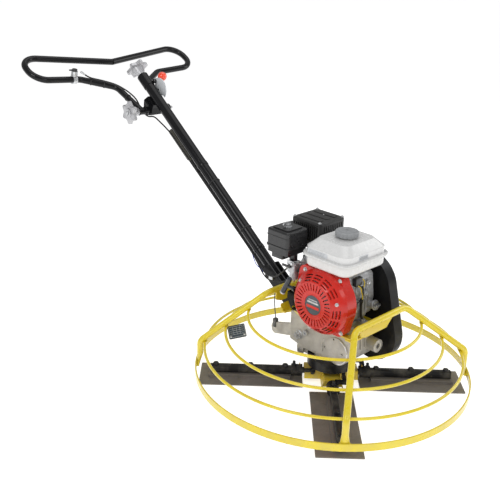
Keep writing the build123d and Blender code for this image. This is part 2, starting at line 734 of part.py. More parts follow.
def fan_cover():
    """Bevelled round blower housing with slots round its hub."""
    axis = Axis((0, CRANK_Y, CRANK_Z), (1, 0, 0))
    plane = Plane(origin=(0, CRANK_Y, CRANK_Z), x_dir=(1, 0, 0), z_dir=(0, -1, 0))
    skin = [(62, 0), (62, 113), (107, 113), (118, 107), (141, 88), (147, 80), (147, 0)]
    hollow = [(60, 0), (60, 109), (106, 109), (116, 103), (138, 85), (143, 78), (143, 0)]
    body = revolve(plane * make_face(Polyline(*skin, close=True)), axis)
    shell = [(-64, 240), (118, 240), (138, 330), (100, 446), (-76, 446), (-92, 340)]
    body += side_plate(shell, 62, 100, 26)
    body -= revolve(plane * make_face(Polyline(*hollow, close=True)), axis)
    body -= block((50, 79.5), (-130, 160), (200, DECK_Z + 1.4))
    slots = []
    for k in range(32):
        slit = block((136, 150), (-2.0, 2.0), (50, 74))
        slots.append(Pos(0, CRANK_Y, CRANK_Z) * Rot(360.0 * k / 32, 0, 0) * slit)
    for start in (112, 88, 64, 40, -4, -28, -52, -76):
        for inner, outer in ((82, 86), (89.5, 93.5), (97, 100.5)):
            slots.append(arc_slot(inner, outer, start, 18))
    body = body.cut(*slots)
    body -= side_rod(CRANK_Y, CRANK_Z, 34, 145.6, 150)
    return body - rod((128, CRANK_Y - 40, 361), (128, CRANK_Y - 130, 361), 7)


def starter_grip():
    """T-shaped pull grip parked against the blower housing."""
    low, high = (128, -124, 337), (128, -98, 387)
    stem = rod((128, -110, 361), (128, -72, 361), 6)
    bar = rod(low, high, 9)
    ends = [Pos(*low) * Sphere(9), Pos(*high) * Sphere(9)]
    return bar + stem + ends[0] + ends[1]


def fuel_tank():
    """Two pressed shells on a flange, with a filler neck."""
    plane = Plane(origin=(10, 39, 0))
    low = extrude(plane.offset(455) * RectangleRounded(216, 184, 34), 41)
    low = fillet(low.edges().group_by(Axis.Z)[0], 12)
    flange = extrude(plane.offset(494) * RectangleRounded(236, 206, 40), 5)
    wall = extrude(plane.offset(497) * RectangleRounded(216, 184, 34), 26)
    roof = loft(
        [
            (plane.offset(522) * RectangleRounded(216, 184, 34)).face(),
            (plane.offset(550) * RectangleRounded(158, 128, 28)).face(),
        ]
    )
    body = low + flange + wall + roof
    inside = extrude(plane.offset(459) * RectangleRounded(206, 174, 30), 62)
    body -= inside
    body += upright(10, 39, 27, 545, 556)
    return body - upright(10, 39, 22, 515, 560)


def fuel_cap():
    cap = upright(10, 39, 39, 556.4, 573)
    cap = fillet(cap.edges().group_by(Axis.Z)[-1], 5)
    cuts = []
    for k in range(18):
        cuts.append(Pos(10, 39, 0) * Rot(0, 0, 20 * k) * upright(41, 0, 3.2, 550, 580))
    cap = cap.cut(*cuts)
    return cap + upright(10, 39, 21.5, 535, 558)


def air_cleaner_base():
    base = block((32, 128), (-208, -112), (462, 482))
    base = fillet(base.edges().filter_by(Axis.Z), 8)
    elbow = upright(80, -128, 14, 434.3, 464)
    return base + elbow


def air_cleaner_cover():
    cover = block((29, 131), (-211, -109), (482.3, 546))
    cover = fillet(cover.edges().filter_by(Axis.Z), 12)
    cover = fillet(cover.edges().group_by(Axis.Z)[-1], 7)
    rib = block((29 + 14, 131 - 14), (-211 + 14, -109 - 14), (540, 550))
    rib = fillet(rib.edges().filter_by(Axis.Z), 8)
    return cover + rib - upright(80, -160, 4.2, 480, 560)


def air_cleaner_nut():
    nut = upright(80, -160, 11, 550.4, 560)
    wing = block((58, 102), (-163, -157), (554, 566))
    wing = fillet(wing.edges().filter_by(Axis.Y), 4)
    stud = upright(80, -160, 4, 500, 556)
    return nut + wing + stud


def muffler():
    can = block((-112, 4), (-196, -86), (470, 548))
    can = fillet(can.edges().filter_by(Axis.X), 20)
    pipe = tube([(-74, -108, 472), (-74, -108, 414), (-53.4, -108, 414)], [14], 11)
    return can + pipe


def muffler_guard():
    """Louvred sheet-metal guard over the silencer."""
    shell = block((-122, 12), (-208, -76), (466, 562))
    shell = fillet(shell.edges().filter_by(Axis.Z), 12)
    shell = fillet(shell.edges().group_by(Axis.Z)[-1], 8)
    shell -= block((-118, 8), (-204, -80), (460, 558))
    slits = []
    for k in range(12):
        y = -196 + 9.6 * k
        slits.append(block((4, 20), (y, y + 4.2), (492, 548)))
    for k in range(10):
        x = -104 + 10 * k
        slits.append(block((x, x + 4.4), (-90, -70), (500, 548)))
        slits.append(block((x, x + 4.4), (-220, -200), (492, 548)))
    shell = shell.cut(*slits)
    for x in (-84, -26):
        shell -= upright(x, -142, 5, 550, 570)
    return shell


def carburettor():
    """Body, float bowl with its drain screw, and the flange on the cylinder head."""
    body = block((62, 100), (-138, -104), (398, 434))
    body = fillet(body.edges().filter_by(Axis.Z), 5)
    bowl = upright(81, -121, 16, 370, 399)
    bowl = fillet(bowl.edges().group_by(Axis.Z)[0], 5)
    flange = block((53.4, 63), (-132, -106), (402, 430))
    return body + bowl + flange + hexagon((81, -121, 364), (81, -121, 371), 11)


def choke_lever():
    stem = rod((100.4, -121, 420), (108, -121, 420), 5)
    return stem + block((104, 108), (-154, -118), (416, 424))


def oil_plug():
    axis = Vector(0, 27, 6).normalized()
    start = Vector(-75, 111.3, 304.47)
    head = rod(start, start + axis * 9, 15)
    fin = rod(start + axis * 9, start + axis * 16, 3.5)
    grip = Pos(*(start + axis * 13)) * Box(26, 7, 7)
    stick = rod(start - axis * 24, start + axis * 1, 8.2)
    return head + fin + grip + stick


def engine_bolts():
    solids = []
    for x, y in ENGINE_BOLTS:
        bolt = upright(x, y, 4, DECK_Z - DECK_T + 0.2, 258)
        bolt += hexagon((x, y, 256.2), (x, y, 263), 14)
        bolt += upright(x, y, 10, 256.1, 257.6)
        solids.append(bolt)
    return solids


def group(shapes):
    """Separate solids that share one node."""
    return Compound([solid for shape in shapes for solid in shape.solids()])


# ---------------------------------------------------------------- writing
os.makedirs("parts", exist_ok=True)

write(guard_hoop(), "guard_hoop")
write(group(guard_rings()), "guard_rings")
write(bail(), "front_bail")
write(mirror(bail(), about=Plane.XZ), "rear_bail")
write(deck_plate(), "deck_plate")
write(group([bail_bracket(116, 141), rear_bracket()]), "bail_brackets")
write(label_plate(), "label_plate")

write(gearbox_housing(), "gearbox_housing")
write(worm_shaft(), "worm_shaft")
write(group([output_shaft(), worm_wheel()]), "output_shaft")
write(dust_shroud(), "dust_shroud")
write(gearbox_pulley(), "gearbox_pulley")
write(clutch_pulley(), "clutch_pulley")
write(v_belt(), "v_belt")
write(belt_cover(), "belt_cover")

write(spider(), "spider")
write(pressure_plate(), "pressure_plate")
write(thrust_cap(), "thrust_cap")
for number in range(ARM_COUNT):
    turn = Rot(0, 0, 45 + 90 * number)
    write(turn * arm(), f"arm_{number + 1}")
    write(turn * blade(), f"blade_{number + 1}")
    write(group(turn * solid for solid in arm_bolts()), f"blade_bolts_{number + 1}")

write(yoke_lever(), "yoke_lever")
write(pitch_cable(), "pitch_cable")
write(pitch_handwheel(), "pitch_handwheel")

write(handle_tube(), "handle_tube")
write(group([lower_tube(), *tube_clips()]), "lower_tube")
write(spring_tube(), "spring_tube")
write(group(handle_bracket()), "handle_bracket")
write(handlebar(), "handlebar")
write(clamp_knob(), "clamp_knob")
write(stop_switch(), "stop_switch")
write(stop_lever(), "stop_lever")
write(throttle_quadrant(), "throttle_quadrant")
write(throttle_lever(), "throttle_lever")
write(control_cables(), "control_cables")

write(engine_block(), "engine_block")
write(cylinder_head(), "cylinder_head")
write(crankshaft(), "crankshaft")
write(fan_cover(), "fan_cover")
write(starter_grip(), "starter_grip")
write(fuel_tank(), "fuel_tank")
write(fuel_cap(), "fuel_cap")
write(air_cleaner_base(), "air_cleaner_base")
write(air_cleaner_cover(), "air_cleaner_cover")
write(air_cleaner_nut(), "air_cleaner_nut")
write(muffler(), "muffler")
write(muffler_guard(), "muffler_guard")
write(carburettor(), "carburettor")
write(choke_lever(), "choke_lever")
write(oil_plug(), "oil_plug")
write(group([*engine_bolts(), *gearbox_bolts(), *handle_bolts(), yoke_pin()]), "frame_fasteners")
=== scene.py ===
import math

import bmesh
import bpy
from mathutils import Matrix, Vector


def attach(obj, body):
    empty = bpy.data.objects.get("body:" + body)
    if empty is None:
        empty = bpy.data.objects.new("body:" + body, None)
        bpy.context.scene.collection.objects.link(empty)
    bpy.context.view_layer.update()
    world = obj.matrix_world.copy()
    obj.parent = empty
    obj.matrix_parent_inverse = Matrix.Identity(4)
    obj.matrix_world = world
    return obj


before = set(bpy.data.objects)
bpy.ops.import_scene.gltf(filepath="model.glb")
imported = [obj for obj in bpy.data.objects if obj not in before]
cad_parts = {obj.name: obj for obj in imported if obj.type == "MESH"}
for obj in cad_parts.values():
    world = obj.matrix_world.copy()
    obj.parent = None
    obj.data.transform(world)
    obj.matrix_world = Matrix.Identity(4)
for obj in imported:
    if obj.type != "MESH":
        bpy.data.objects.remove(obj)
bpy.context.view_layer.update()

ROTOR_Y = 445.0
TILT = math.radians(38.0)


# ---------------------------------------------------------------- places
def at(x, y, z):
    """A point given in millimetres from the rotor axis, in the row frame's metres."""
    return Vector((x / 1000, (y + ROTOR_Y) / 1000, z / 1000))


def on_handle(along, above, x=0.0):
    """A point beside the main tube: distance up the tube, then square to it."""
    y = -190 - along * math.cos(TILT) + above * math.sin(TILT)
    z = 241 + along * math.sin(TILT) + above * math.cos(TILT)
    return at(x, y, z)


def basis(axis, hint=(0, 0, 1)):
    """A 3x3 matrix whose third column is the axis."""
    w = Vector(axis).normalized()
    h = Vector(hint)
    if abs(w.dot(h.normalized())) > 0.98:
        h = Vector((1, 0, 0))
    u = h.cross(w).normalized()
    return Matrix((u, w.cross(u), w)).transposed()


# ---------------------------------------------------------------- mesh building
def lathe(base, axis, profile, steps=40, turn=0.0):
    """A solid of revolution. The profile is (height, radius) in millimetres."""
    m = basis(axis)
    verts, faces = [], []
    for h, r in profile:
        for k in range(steps):
            a = 2 * math.pi * k / steps + turn
            local = Vector((r * math.cos(a), r * math.sin(a), h)) / 1000
            verts.append(base + m @ local)
    for i in range(len(profile) - 1):
        for k in range(steps):
            n = (k + 1) % steps
            faces.append((i * steps + k, i * steps + n, (i + 1) * steps + n, (i + 1) * steps + k))
    faces.append(tuple(range(steps)))
    top = (len(profile) - 1) * steps
    faces.append(tuple(range(top, top + steps)))
    return verts, faces


def band(base, axis, profile, steps=48, start=0.0, sweep=360.0, hint=(0, 0, 1)):
    """A closed section turned through part or all of a circle, open or closed."""
    m = basis(axis, hint)
    verts, faces = [], []
    full = sweep >= 359.9
    rows = steps if full else steps + 1
    count = len(profile)
    for k in range(rows):
        a = math.radians(start + sweep * k / steps)
        for h, r in profile:
            verts.append(base + m @ (Vector((r * math.cos(a), r * math.sin(a), h)) / 1000))
    for k in range(steps):
        n = (k + 1) % rows
        for i in range(count):
            j = (i + 1) % count
            faces.append((k * count + i, k * count + j, n * count + j, n * count + i))
    if not full:
        faces.append(tuple(range(count)))
        faces.append(tuple(range((rows - 1) * count, rows * count)))
    return verts, faces


def smooth_path(points, steps=8):
    """A Catmull-Rom line through the points."""
    pts = [Vector(p) for p in points]
    ends = [pts[0] * 2 - pts[1]] + pts + [pts[-1] * 2 - pts[-2]]
    line = []
    for i in range(1, len(ends) - 2):
        a, b, c, d = ends[i - 1 : i + 3]
        for k in range(steps):
            t = k / steps
            p = 2 * b + (c - a) * t
            p += (2 * a - 5 * b + 4 * c - d) * t * t
            p += (3 * b - a - 3 * c + d) * t**3
            line.append(p / 2)
    line.append(pts[-1])
    return line


def hose(points, radius, sides=12, steps=8, wobble=None):
    """A round tube along a smooth line. Radius in millimetres, points in metres."""
    line = smooth_path(points, steps) if steps > 1 else [Vector(p) for p in points]
    verts, faces = [], []
    tangent = (line[1] - line[0]).normalized()
    u = basis(tangent).col[0].copy()
    for i, p in enumerate(line):
        ahead = line[min(i + 1, len(line) - 1)] - line[max(i - 1, 0)]
        ahead.normalize()
        turn = tangent.rotation_difference(ahead)
        u = turn @ u
        u = (u - ahead * u.dot(ahead)).normalized()
        tangent = ahead
        v = ahead.cross(u)
        r = radius / 1000
        if wobble:
            r *= wobble(i / (len(line) - 1))
        for k in range(sides):
            a = 2 * math.pi * k / sides
            verts.append(p + (u * math.cos(a) + v * math.sin(a)) * r)
    for i in range(len(line) - 1):
        for k in range(sides):
            n = (k + 1) % sides
            faces.append((i * sides + k, i * sides + n, (i + 1) * sides + n, (i + 1) * sides + k))
    faces.append(tuple(range(sides)))
    faces.append(tuple(range((len(line) - 1) * sides, len(line) * sides)))
    return verts, faces


def spring(start, end, radius, wire, turns, sides=8):
    """A coil spring between two points."""
    m = basis(end - start)
    length = (end - start).length
    count = int(turns * 14)
    line = []
    for k in range(count + 1):
        a = 2 * math.pi * turns * k / count
        local = Vector((radius / 1000 * math.cos(a), radius / 1000 * math.sin(a), length * k / count))
        line.append(start + m @ local)
    return hose(line, wire, sides, steps=1)


def slab(outline, origin, u, v, depth):
    """A flat outline in millimetres, thickened along u x v."""
    u, v = Vector(u).normalized(), Vector(v).normalized()
    w = u.cross(v).normalized() * depth / 1000
    low = [origin + (u * a + v * b) / 1000 for a, b in outline]
    high = [p + w for p in low]
    n = len(outline)
    faces = [tuple(range(n)), tuple(range(n, 2 * n))]
    for k in range(n):
        faces.append((k, (k + 1) % n, n + (k + 1) % n, n + k))
    return low + high, faces


def rounded(w, h, r, steps=5):
    """A rounded rectangle's outline about the middle."""
    points = []
    for cx, cy, a0 in ((w / 2 - r, h / 2 - r, 0), (r - w / 2, h / 2 - r, 90), (r - w / 2, r - h / 2, 180), (w / 2 - r, r - h / 2, 270)):
        for k in range(steps + 1):
            a = math.radians(a0 + 90 * k / steps)
            points.append((cx + r * math.cos(a), cy + r * math.sin(a)))
    return points


def brick(x, y, z, r=0.0):
    """A block between limits in millimetres, with its upright corners rounded."""
    centre = at((x[0] + x[1]) / 2, (y[0] + y[1]) / 2, z[0])
    w, h = x[1] - x[0], y[1] - y[0]
    outline = rounded(w, h, max(r, 0.4))
    return slab(outline, centre, (1, 0, 0), (0, 1, 0), z[1] - z[0])


def hex_head(base, axis, across, height, flange=0.0, turn=0.3):
    """Chamfered hexagon head, on a washer flange when one is given."""
    r = across / math.sqrt(3)
    parts = [lathe(base, axis, [(0, r), (height * 0.82, r), (height, r * 0.86), (height, r * 0.3)], 6, turn)]
    if flange:
        parts.append(lathe(base, axis, [(0, flange), (height * 0.12, flange), (height * 0.28, r)], 28))
    return parts


def pan_head(base, axis, radius, height):
    """Domed screw head with a sunk cross."""
    profile = [(0, radius), (height * 0.5, radius * 0.97), (height * 0.85, radius * 0.75), (height, radius * 0.42)]
    profile += [(height * 0.55, radius * 0.3), (height * 0.5, radius * 0.05)]
    return [lathe(base, axis, profile, 24)]


def solid(name, parts, material, body="frame", bevel=0.0, crease=34.0):
    """Joins the parts to one mesh, bevels its hard edges and puts it on a body."""
    verts, faces = [], []
    for part_verts, part_faces in parts:
        shift = len(verts)
        verts += [tuple(v) for v in part_verts]
        faces += [tuple(i + shift for i in f) for f in part_faces]
    mesh = bpy.data.meshes.new(name)
    mesh.from_pydata(verts, [], faces)
    bm = bmesh.new()
    bm.from_mesh(mesh)
    bmesh.ops.recalc_face_normals(bm, faces=bm.faces)
    if bevel:
        edges = [e for e in bm.edges if e.is_manifold and e.calc_face_angle(0.0) > math.radians(32)]
        bmesh.ops.bevel(bm, geom=edges, offset=bevel / 1000, segments=2, profile=0.6, affect="EDGES", clamp_overlap=True)
    bm.to_mesh(mesh)
    bm.free()
    mesh.polygons.foreach_set("use_smooth", [True] * len(mesh.polygons))
    mesh.set_sharp_from_angle(angle=math.radians(crease))
    obj = bpy.data.objects.new(name, mesh)
    bpy.context.scene.collection.objects.link(obj)
    mesh.materials.append(material)
    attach(obj, body)
    return obj


# ---------------------------------------------------------------- materials
class Surface:
    """A principled material built up from procedural layers."""

    def __init__(self, name, colour, rough, metal=0.0, coat=0.0, coat_rough=0.1, spec=0.5):
        self.material = bpy.data.materials.new(name)
        self.material.use_nodes = True
        self.tree = self.material.node_tree
        self.shader = next(n for n in self.tree.nodes if n.type == "BSDF_PRINCIPLED")
        self.shader.inputs["Metallic"].default_value = metal
        self.shader.inputs["Coat Weight"].default_value = coat
        self.shader.inputs["Coat Roughness"].default_value = coat_rough
        self.shader.inputs["Specular IOR Level"].default_value = spec
        self.coords = self.tree.nodes.new("ShaderNodeTexCoord").outputs["Object"]
        self.colour = self.rgb(colour)
        self.rough = self.value(rough)
        self.normal = None

    def rgb(self, colour):
        node = self.tree.nodes.new("ShaderNodeRGB")
        node.outputs[0].default_value = (*colour, 1)
        return node.outputs[0]

    def value(self, number):
        node = self.tree.nodes.new("ShaderNodeValue")
        node.outputs[0].default_value = number
        return node.outputs[0]

    def noise(self, scale, detail=3.0, rough=0.5, stretch=(1, 1, 1), turn=(0, 0, 0), warp=0.0):
        mapping = self.tree.nodes.new("ShaderNodeMapping")
        mapping.inputs["Scale"].default_value = stretch
        mapping.inputs["Rotation"].default_value = [math.radians(a) for a in turn]
        self.tree.links.new(self.coords, mapping.inputs["Vector"])
        node = self.tree.nodes.new("ShaderNodeTexNoise")
        node.inputs["Scale"].default_value = scale
        node.inputs["Detail"].default_value = detail
        node.inputs["Roughness"].default_value = rough
        node.inputs["Distortion"].default_value = warp
        self.tree.links.new(mapping.outputs[0], node.inputs["Vector"])
        return node.outputs["Fac"]

    def cells(self, scale, feature="DISTANCE_TO_EDGE"):
        node = self.tree.nodes.new("ShaderNodeTexVoronoi")
        node.feature = feature
        node.inputs["Scale"].default_value = scale
        self.tree.links.new(self.coords, node.inputs["Vector"])
        return node.outputs["Distance"]

    def height_mask(self, low, high):
        """Falls from 1 at one height to 0 at another, in metres above the floor."""
        split = self.tree.nodes.new("ShaderNodeSeparateXYZ")
        self.tree.links.new(self.coords, split.inputs[0])
        return self.spread(split.outputs["Z"], low, high, 1.0, 0.0)

    def spread(self, source, low, high, to_low=0.0, to_high=1.0):
        node = self.tree.nodes.new("ShaderNodeMapRange")
        node.clamp = True
        node.inputs["From Min"].default_value = low
        node.inputs["From Max"].default_value = high
        node.inputs["To Min"].default_value = to_low
        node.inputs["To Max"].default_value = to_high
        self.tree.links.new(source, node.inputs["Value"])
        return node.outputs[0]

    def math(self, operation, a, b):
        node = self.tree.nodes.new("ShaderNodeMath")
        node.operation = operation
        node.use_clamp = True
        for socket, source in zip(node.inputs, (a, b)):
            if isinstance(source, (int, float)):
                socket.default_value = source
            else:
                self.tree.links.new(source, socket)
        return node.outputs[0]

    def blend(self, mask, colour, rough=None):
        """Lays another colour, and its roughness, where the mask is high."""
        mix = self.tree.nodes.new("ShaderNodeMix")
        mix.data_type = "RGBA"
        self.tree.links.new(mask, mix.inputs[0])
        self.tree.links.new(self.colour, mix.inputs[6])
        mix.inputs[7].default_value = (*colour, 1)
        self.colour = mix.outputs[2]
        if rough is not None:
            mixed = self.tree.nodes.new("ShaderNodeMix")
            self.tree.links.new(mask, mixed.inputs[0])
            self.tree.links.new(self.rough, mixed.inputs[2])
            mixed.inputs[3].default_value = rough
            self.rough = mixed.outputs[0]
        return self

    def vary_rough(self, source, amount):
        shift = self.spread(source, 0.3, 0.7, -amount, amount)
        node = self.tree.nodes.new("ShaderNodeMath")
        node.operation = "ADD"
        node.use_clamp = True
        self.tree.links.new(self.rough, node.inputs[0])
        self.tree.links.new(shift, node.inputs[1])
        self.rough = node.outputs[0]
        return self

    def edges(self, radius):
        """A mask of outer edges, from how far a rounded normal leaves the flat one."""
        bevel = self.tree.nodes.new("ShaderNodeBevel")
        bevel.samples = 4
        bevel.inputs["Radius"].default_value = radius
        flat = self.tree.nodes.new("ShaderNodeNewGeometry")
        dot = self.tree.nodes.new("ShaderNodeVectorMath")
        dot.operation = "DOT_PRODUCT"
        self.tree.links.new(bevel.outputs[0], dot.inputs[0])
        self.tree.links.new(flat.outputs["Normal"], dot.inputs[1])
        return self.spread(dot.outputs["Value"], 0.72, 0.995, 1.0, 0.0)

    def soften(self, radius):
        """Rounds the shading of hard CAD edges."""
        bevel = self.tree.nodes.new("ShaderNodeBevel")
        bevel.samples = 4
        bevel.inputs["Radius"].default_value = radius
        self.normal = bevel.outputs[0]
        return self

    def bump(self, source, strength, distance):
        node = self.tree.nodes.new("ShaderNodeBump")
        node.inputs["Strength"].default_value = strength
        node.inputs["Distance"].default_value = distance
        self.tree.links.new(source, node.inputs["Height"])
        if self.normal is not None:
            self.tree.links.new(self.normal, node.inputs["Normal"])
        self.normal = node.outputs[0]
        return self

    def done(self):
        self.tree.links.new(self.colour, self.shader.inputs["Base Color"])
        self.tree.links.new(self.rough, self.shader.inputs["Roughness"])
        if self.normal is not None:
            self.tree.links.new(self.normal, self.shader.inputs["Normal"])
        return self.material


def enamel(name, colour, shade, rough, chip, chip_rough=0.55, coat=0.6, wear=0.71, dust=0.25, shine=0.5):
    """Sprayed enamel: uneven tone, orange peel, small chips and floor dust."""
    s = Surface(name, colour, rough, coat=coat, coat_rough=0.08)
    s.shader.inputs["Specular IOR Level"].default_value = shine
    s.soften(0.0009)
    s.blend(s.spread(s.noise(7.0, 4, 0.55), 0.34, 0.72), shade)
    s.blend(s.spread(s.noise(38.0, 5, 0.6), 0.52, 0.86, 0.0, 0.5), shade)
    s.vary_rough(s.noise(60.0, 4, 0.6), 0.07)
    grime = s.math("MULTIPLY", s.height_mask(0.0, 0.24), s.spread(s.noise(26.0, 6, 0.62), 0.42, 0.72, 0.0, dust))
    s.blend(grime, (0.30, 0.28, 0.24), 0.72)
    worn = s.math("MULTIPLY", s.edges(0.0011), s.spread(s.noise(75.0, 5, 0.65), 0.56, 0.66))
    spots = s.spread(s.noise(46.0, 8, 0.72, warp=0.4), wear, wear + 0.03)
    s.blend(s.math("MAXIMUM", worn, spots), chip, chip_rough)
    s.bump(s.noise(420.0, 2, 0.4), 0.10, 0.0004)
    s.bump(s.noise(45.0, 5, 0.6), 0.10, 0.0012)
    return s.done()


def casting(name, colour, dark, rough, metal=0.85, grain=0.55, stain=(0.16, 0.14, 0.12)):
    """Sand or die casting: pitted skin with darker hollows and bright rubbed edges."""
    s = Surface(name, colour, rough, metal)
    s.soften(0.0012)
    s.blend(s.spread(s.noise(22.0, 6, 0.62), 0.36, 0.72), dark, rough + 0.12)
    s.blend(s.spread(s.noise(140.0, 5, 0.7), 0.56, 0.78, 0.0, 0.7), dark)
    s.blend(s.spread(s.noise(11.0, 7, 0.7, warp=0.6), 0.60, 0.80, 0.0, 0.55), stain, 0.68)
    s.blend(s.math("MULTIPLY", s.edges(0.0012), s.spread(s.noise(90.0, 3), 0.4, 0.62, 0.0, 0.8)), [min(1, c * 1.35) for c in colour], 0.28)
    s.vary_rough(s.noise(90.0, 4, 0.6), 0.10)
    s.bump(s.noise(620.0, 3, 0.6), grain, 0.0006)
    s.bump(s.noise(110.0, 5, 0.6), grain * 0.5, 0.0012)
    return s.done()


def plated(name, colour, dark, rough, brushed=(1, 1, 1), metal=1.0):
    """Plated or turned steel with handling marks and fine tool lines."""
    s = Surface(name, colour, rough, metal)
    s.soften(0.0005)
    s.blend(s.spread(s.noise(60.0, 6, 0.65), 0.45, 0.78), dark, rough + 0.15)
    s.blend(s.spread(s.noise(210.0, 4, 0.6), 0.62, 0.8, 0.0, 0.6), dark)
    s.vary_rough(s.noise(180.0, 4, 0.6), 0.12)
    s.bump(s.noise(700.0, 3, 0.5, stretch=brushed), 0.22, 0.0003)
    return s.done()


def moulded(name, colour, light, rough, grain=1500.0, strength=0.25, coat=0.0):
    """Moulded plastic or rubber with a fine grain and dusty rub marks."""
    s = Surface(name, colour, rough, coat=coat)
    s.soften(0.0009)
    s.blend(s.spread(s.noise(18.0, 6, 0.65), 0.48, 0.82, 0.0, 0.6), light, min(rough + 0.15, 1))
    s.blend(s.math("MULTIPLY", s.edges(0.001), s.spread(s.noise(120.0, 4), 0.45, 0.7, 0.0, 0.5)), light)
    s.vary_rough(s.noise(50.0, 5, 0.6), 0.09)
    s.bump(s.noise(grain, 2, 0.5), strength, 0.0003)
    s.bump(s.noise(70.0, 4, 0.5), 0.08, 0.001)
    return s.done()


YELLOW = (0.84, 0.68, 0.020)
YELLOW_SHADE = (0.78, 0.60, 0.016)
guard_yellow = enamel("guard_yellow", YELLOW, YELLOW_SHADE, 0.30, (0.24, 0.20, 0.13), wear=0.715)
frame_yellow = enamel("frame_yellow", (0.82, 0.65, 0.020), (0.74, 0.55, 0.016), 0.32, (0.22, 0.19, 0.13), wear=0.70)
rotor_yellow = enamel("rotor_yellow", (0.82, 0.61, 0.012), (0.62, 0.42, 0.012), 0.38, (0.13, 0.12, 0.10), wear=0.66, dust=0.5)
satin_black = enamel("satin_black", (0.008, 0.008, 0.009), (0.014, 0.014, 0.015), 0.34, (0.09, 0.09, 0.09), coat=0.05, wear=0.76, dust=0.25, shine=0.18)
gloss_black = enamel("gloss_black", (0.006, 0.006, 0.007), (0.009, 0.009, 0.010), 0.16, (0.08, 0.08, 0.08), coat=0.28, wear=0.78, dust=0.15, shine=0.12)
engine_red = enamel("engine_red", (0.66, 0.022, 0.012), (0.55, 0.015, 0.010), 0.24, (0.36, 0.05, 0.04), coat=0.35, wear=0.77, shine=0.3)
tank_white = enamel("tank_white", (0.74, 0.74, 0.735), (0.70, 0.70, 0.69), 0.26, (0.55, 0.55, 0.53), coat=0.7, wear=0.76)
spring_coat = enamel("spring_coat", (0.085, 0.080, 0.062), (0.06, 0.056, 0.045), 0.36, (0.22, 0.21, 0.18), coat=0.4, wear=0.69)
heat_black = enamel("heat_black", (0.014, 0.014, 0.014), (0.028, 0.026, 0.024), 0.52, (0.12, 0.10, 0.09), coat=0.05, wear=0.70)
cast_aluminium = casting("cast_aluminium", (0.60, 0.61, 0.62), (0.38, 0.385, 0.395), 0.42, metal=0.55)
gear_casting = casting("gear_casting", (0.56, 0.54, 0.50), (0.40, 0.38, 0.35), 0.46, metal=0.55, grain=0.7)
knob_casting = casting("knob_casting", (0.58, 0.58, 0.595), (0.36, 0.36, 0.375), 0.34, metal=0.7, grain=0.45)
bright_steel = plated("bright_steel", (0.62, 0.62, 0.63), (0.38, 0.37, 0.36), 0.28)
zinc = plated("zinc", (0.60, 0.61, 0.62), (0.34, 0.34, 0.345), 0.32)
dark_bolt = plated("dark_bolt", (0.055, 0.055, 0.058), (0.025, 0.025, 0.026), 0.38, metal=0.8)
brass = plated("brass", (0.62, 0.44, 0.16), (0.38, 0.26, 0.09), 0.30)
cable_steel = plated("cable_steel", (0.16, 0.16, 0.165), (0.07, 0.07, 0.072), 0.40)
black_plastic = moulded("black_plastic", (0.010, 0.010, 0.011), (0.035, 0.035, 0.037), 0.30, coat=0.25)
rubber = moulded("rubber", (0.013, 0.013, 0.013), (0.04, 0.04, 0.04), 0.62, 900, 0.35)
grip_plastic = moulded("grip_plastic", (0.018, 0.024, 0.036), (0.05, 0.058, 0.07), 0.34, coat=0.3)
cap_grey = moulded("cap_grey", (0.30, 0.31, 0.32), (0.20, 0.205, 0.21), 0.42, 1000, 0.3)
ball_red = moulded("ball_red", (0.93, 0.055, 0.008), (0.80, 0.04, 0.008), 0.12, 2500, 0.03, coat=1.0)
label_dark = moulded("label_dark", (0.035, 0.055, 0.070), (0.07, 0.09, 0.105), 0.34, 1800, 0.05, coat=0.3)
label_pale = moulded("label_pale", (0.62, 0.64, 0.66), (0.48, 0.50, 0.52), 0.36, 1800, 0.05)
label_grey = moulded("label_grey", (0.36, 0.37, 0.38), (0.28, 0.29, 0.30), 0.34, 1800, 0.05)
yellow_wire = moulded("yellow_wire", (0.80, 0.58, 0.02), (0.6, 0.42, 0.02), 0.4)
blue_wire = moulded("blue_wire", (0.02, 0.09, 0.62), (0.02, 0.06, 0.4), 0.35)


def blade_steel():
    """Rolled blade steel: brown-grey scale, streaks along the blade and rubbed rims."""
    s = Surface("blade_steel", (0.24, 0.222, 0.208), 0.40, 0.30)
    s.soften(0.0006)
    across = {45: (1, 9, 9), 135: (9, 1, 9)}
    s.blend(s.spread(s.noise(9.0, 6, 0.62, warp=0.5), 0.36, 0.70), (0.165, 0.15, 0.138), 0.50)
    for turn, stretch in across.items():
        s.blend(s.spread(s.noise(9.0, 5, 0.6, stretch=(1.2, 12, 1), turn=(0, 0, turn)), 0.54, 0.74, 0.0, 0.55), (0.23, 0.205, 0.18), 0.32)
    s.blend(s.spread(s.noise(60.0, 7, 0.7), 0.60, 0.82, 0.0, 0.7), (0.085, 0.070, 0.060), 0.6)
    s.blend(s.spread(s.noise(17.0, 6, 0.7, warp=1.0), 0.66, 0.78, 0.0, 0.5), (0.16, 0.085, 0.045), 0.65)
    s.blend(s.math("MULTIPLY", s.edges(0.0009), s.spread(s.noise(40.0, 4), 0.38, 0.6, 0.0, 0.8)), (0.38, 0.35, 0.32), 0.25)
    s.vary_rough(s.noise(30.0, 5, 0.6), 0.12)
    s.bump(s.noise(300.0, 4, 0.6), 0.25, 0.0003)
    s.bump(s.noise(14.0, 4, 0.5), 0.12, 0.002)
    return s.done()


blade_metal = blade_steel()

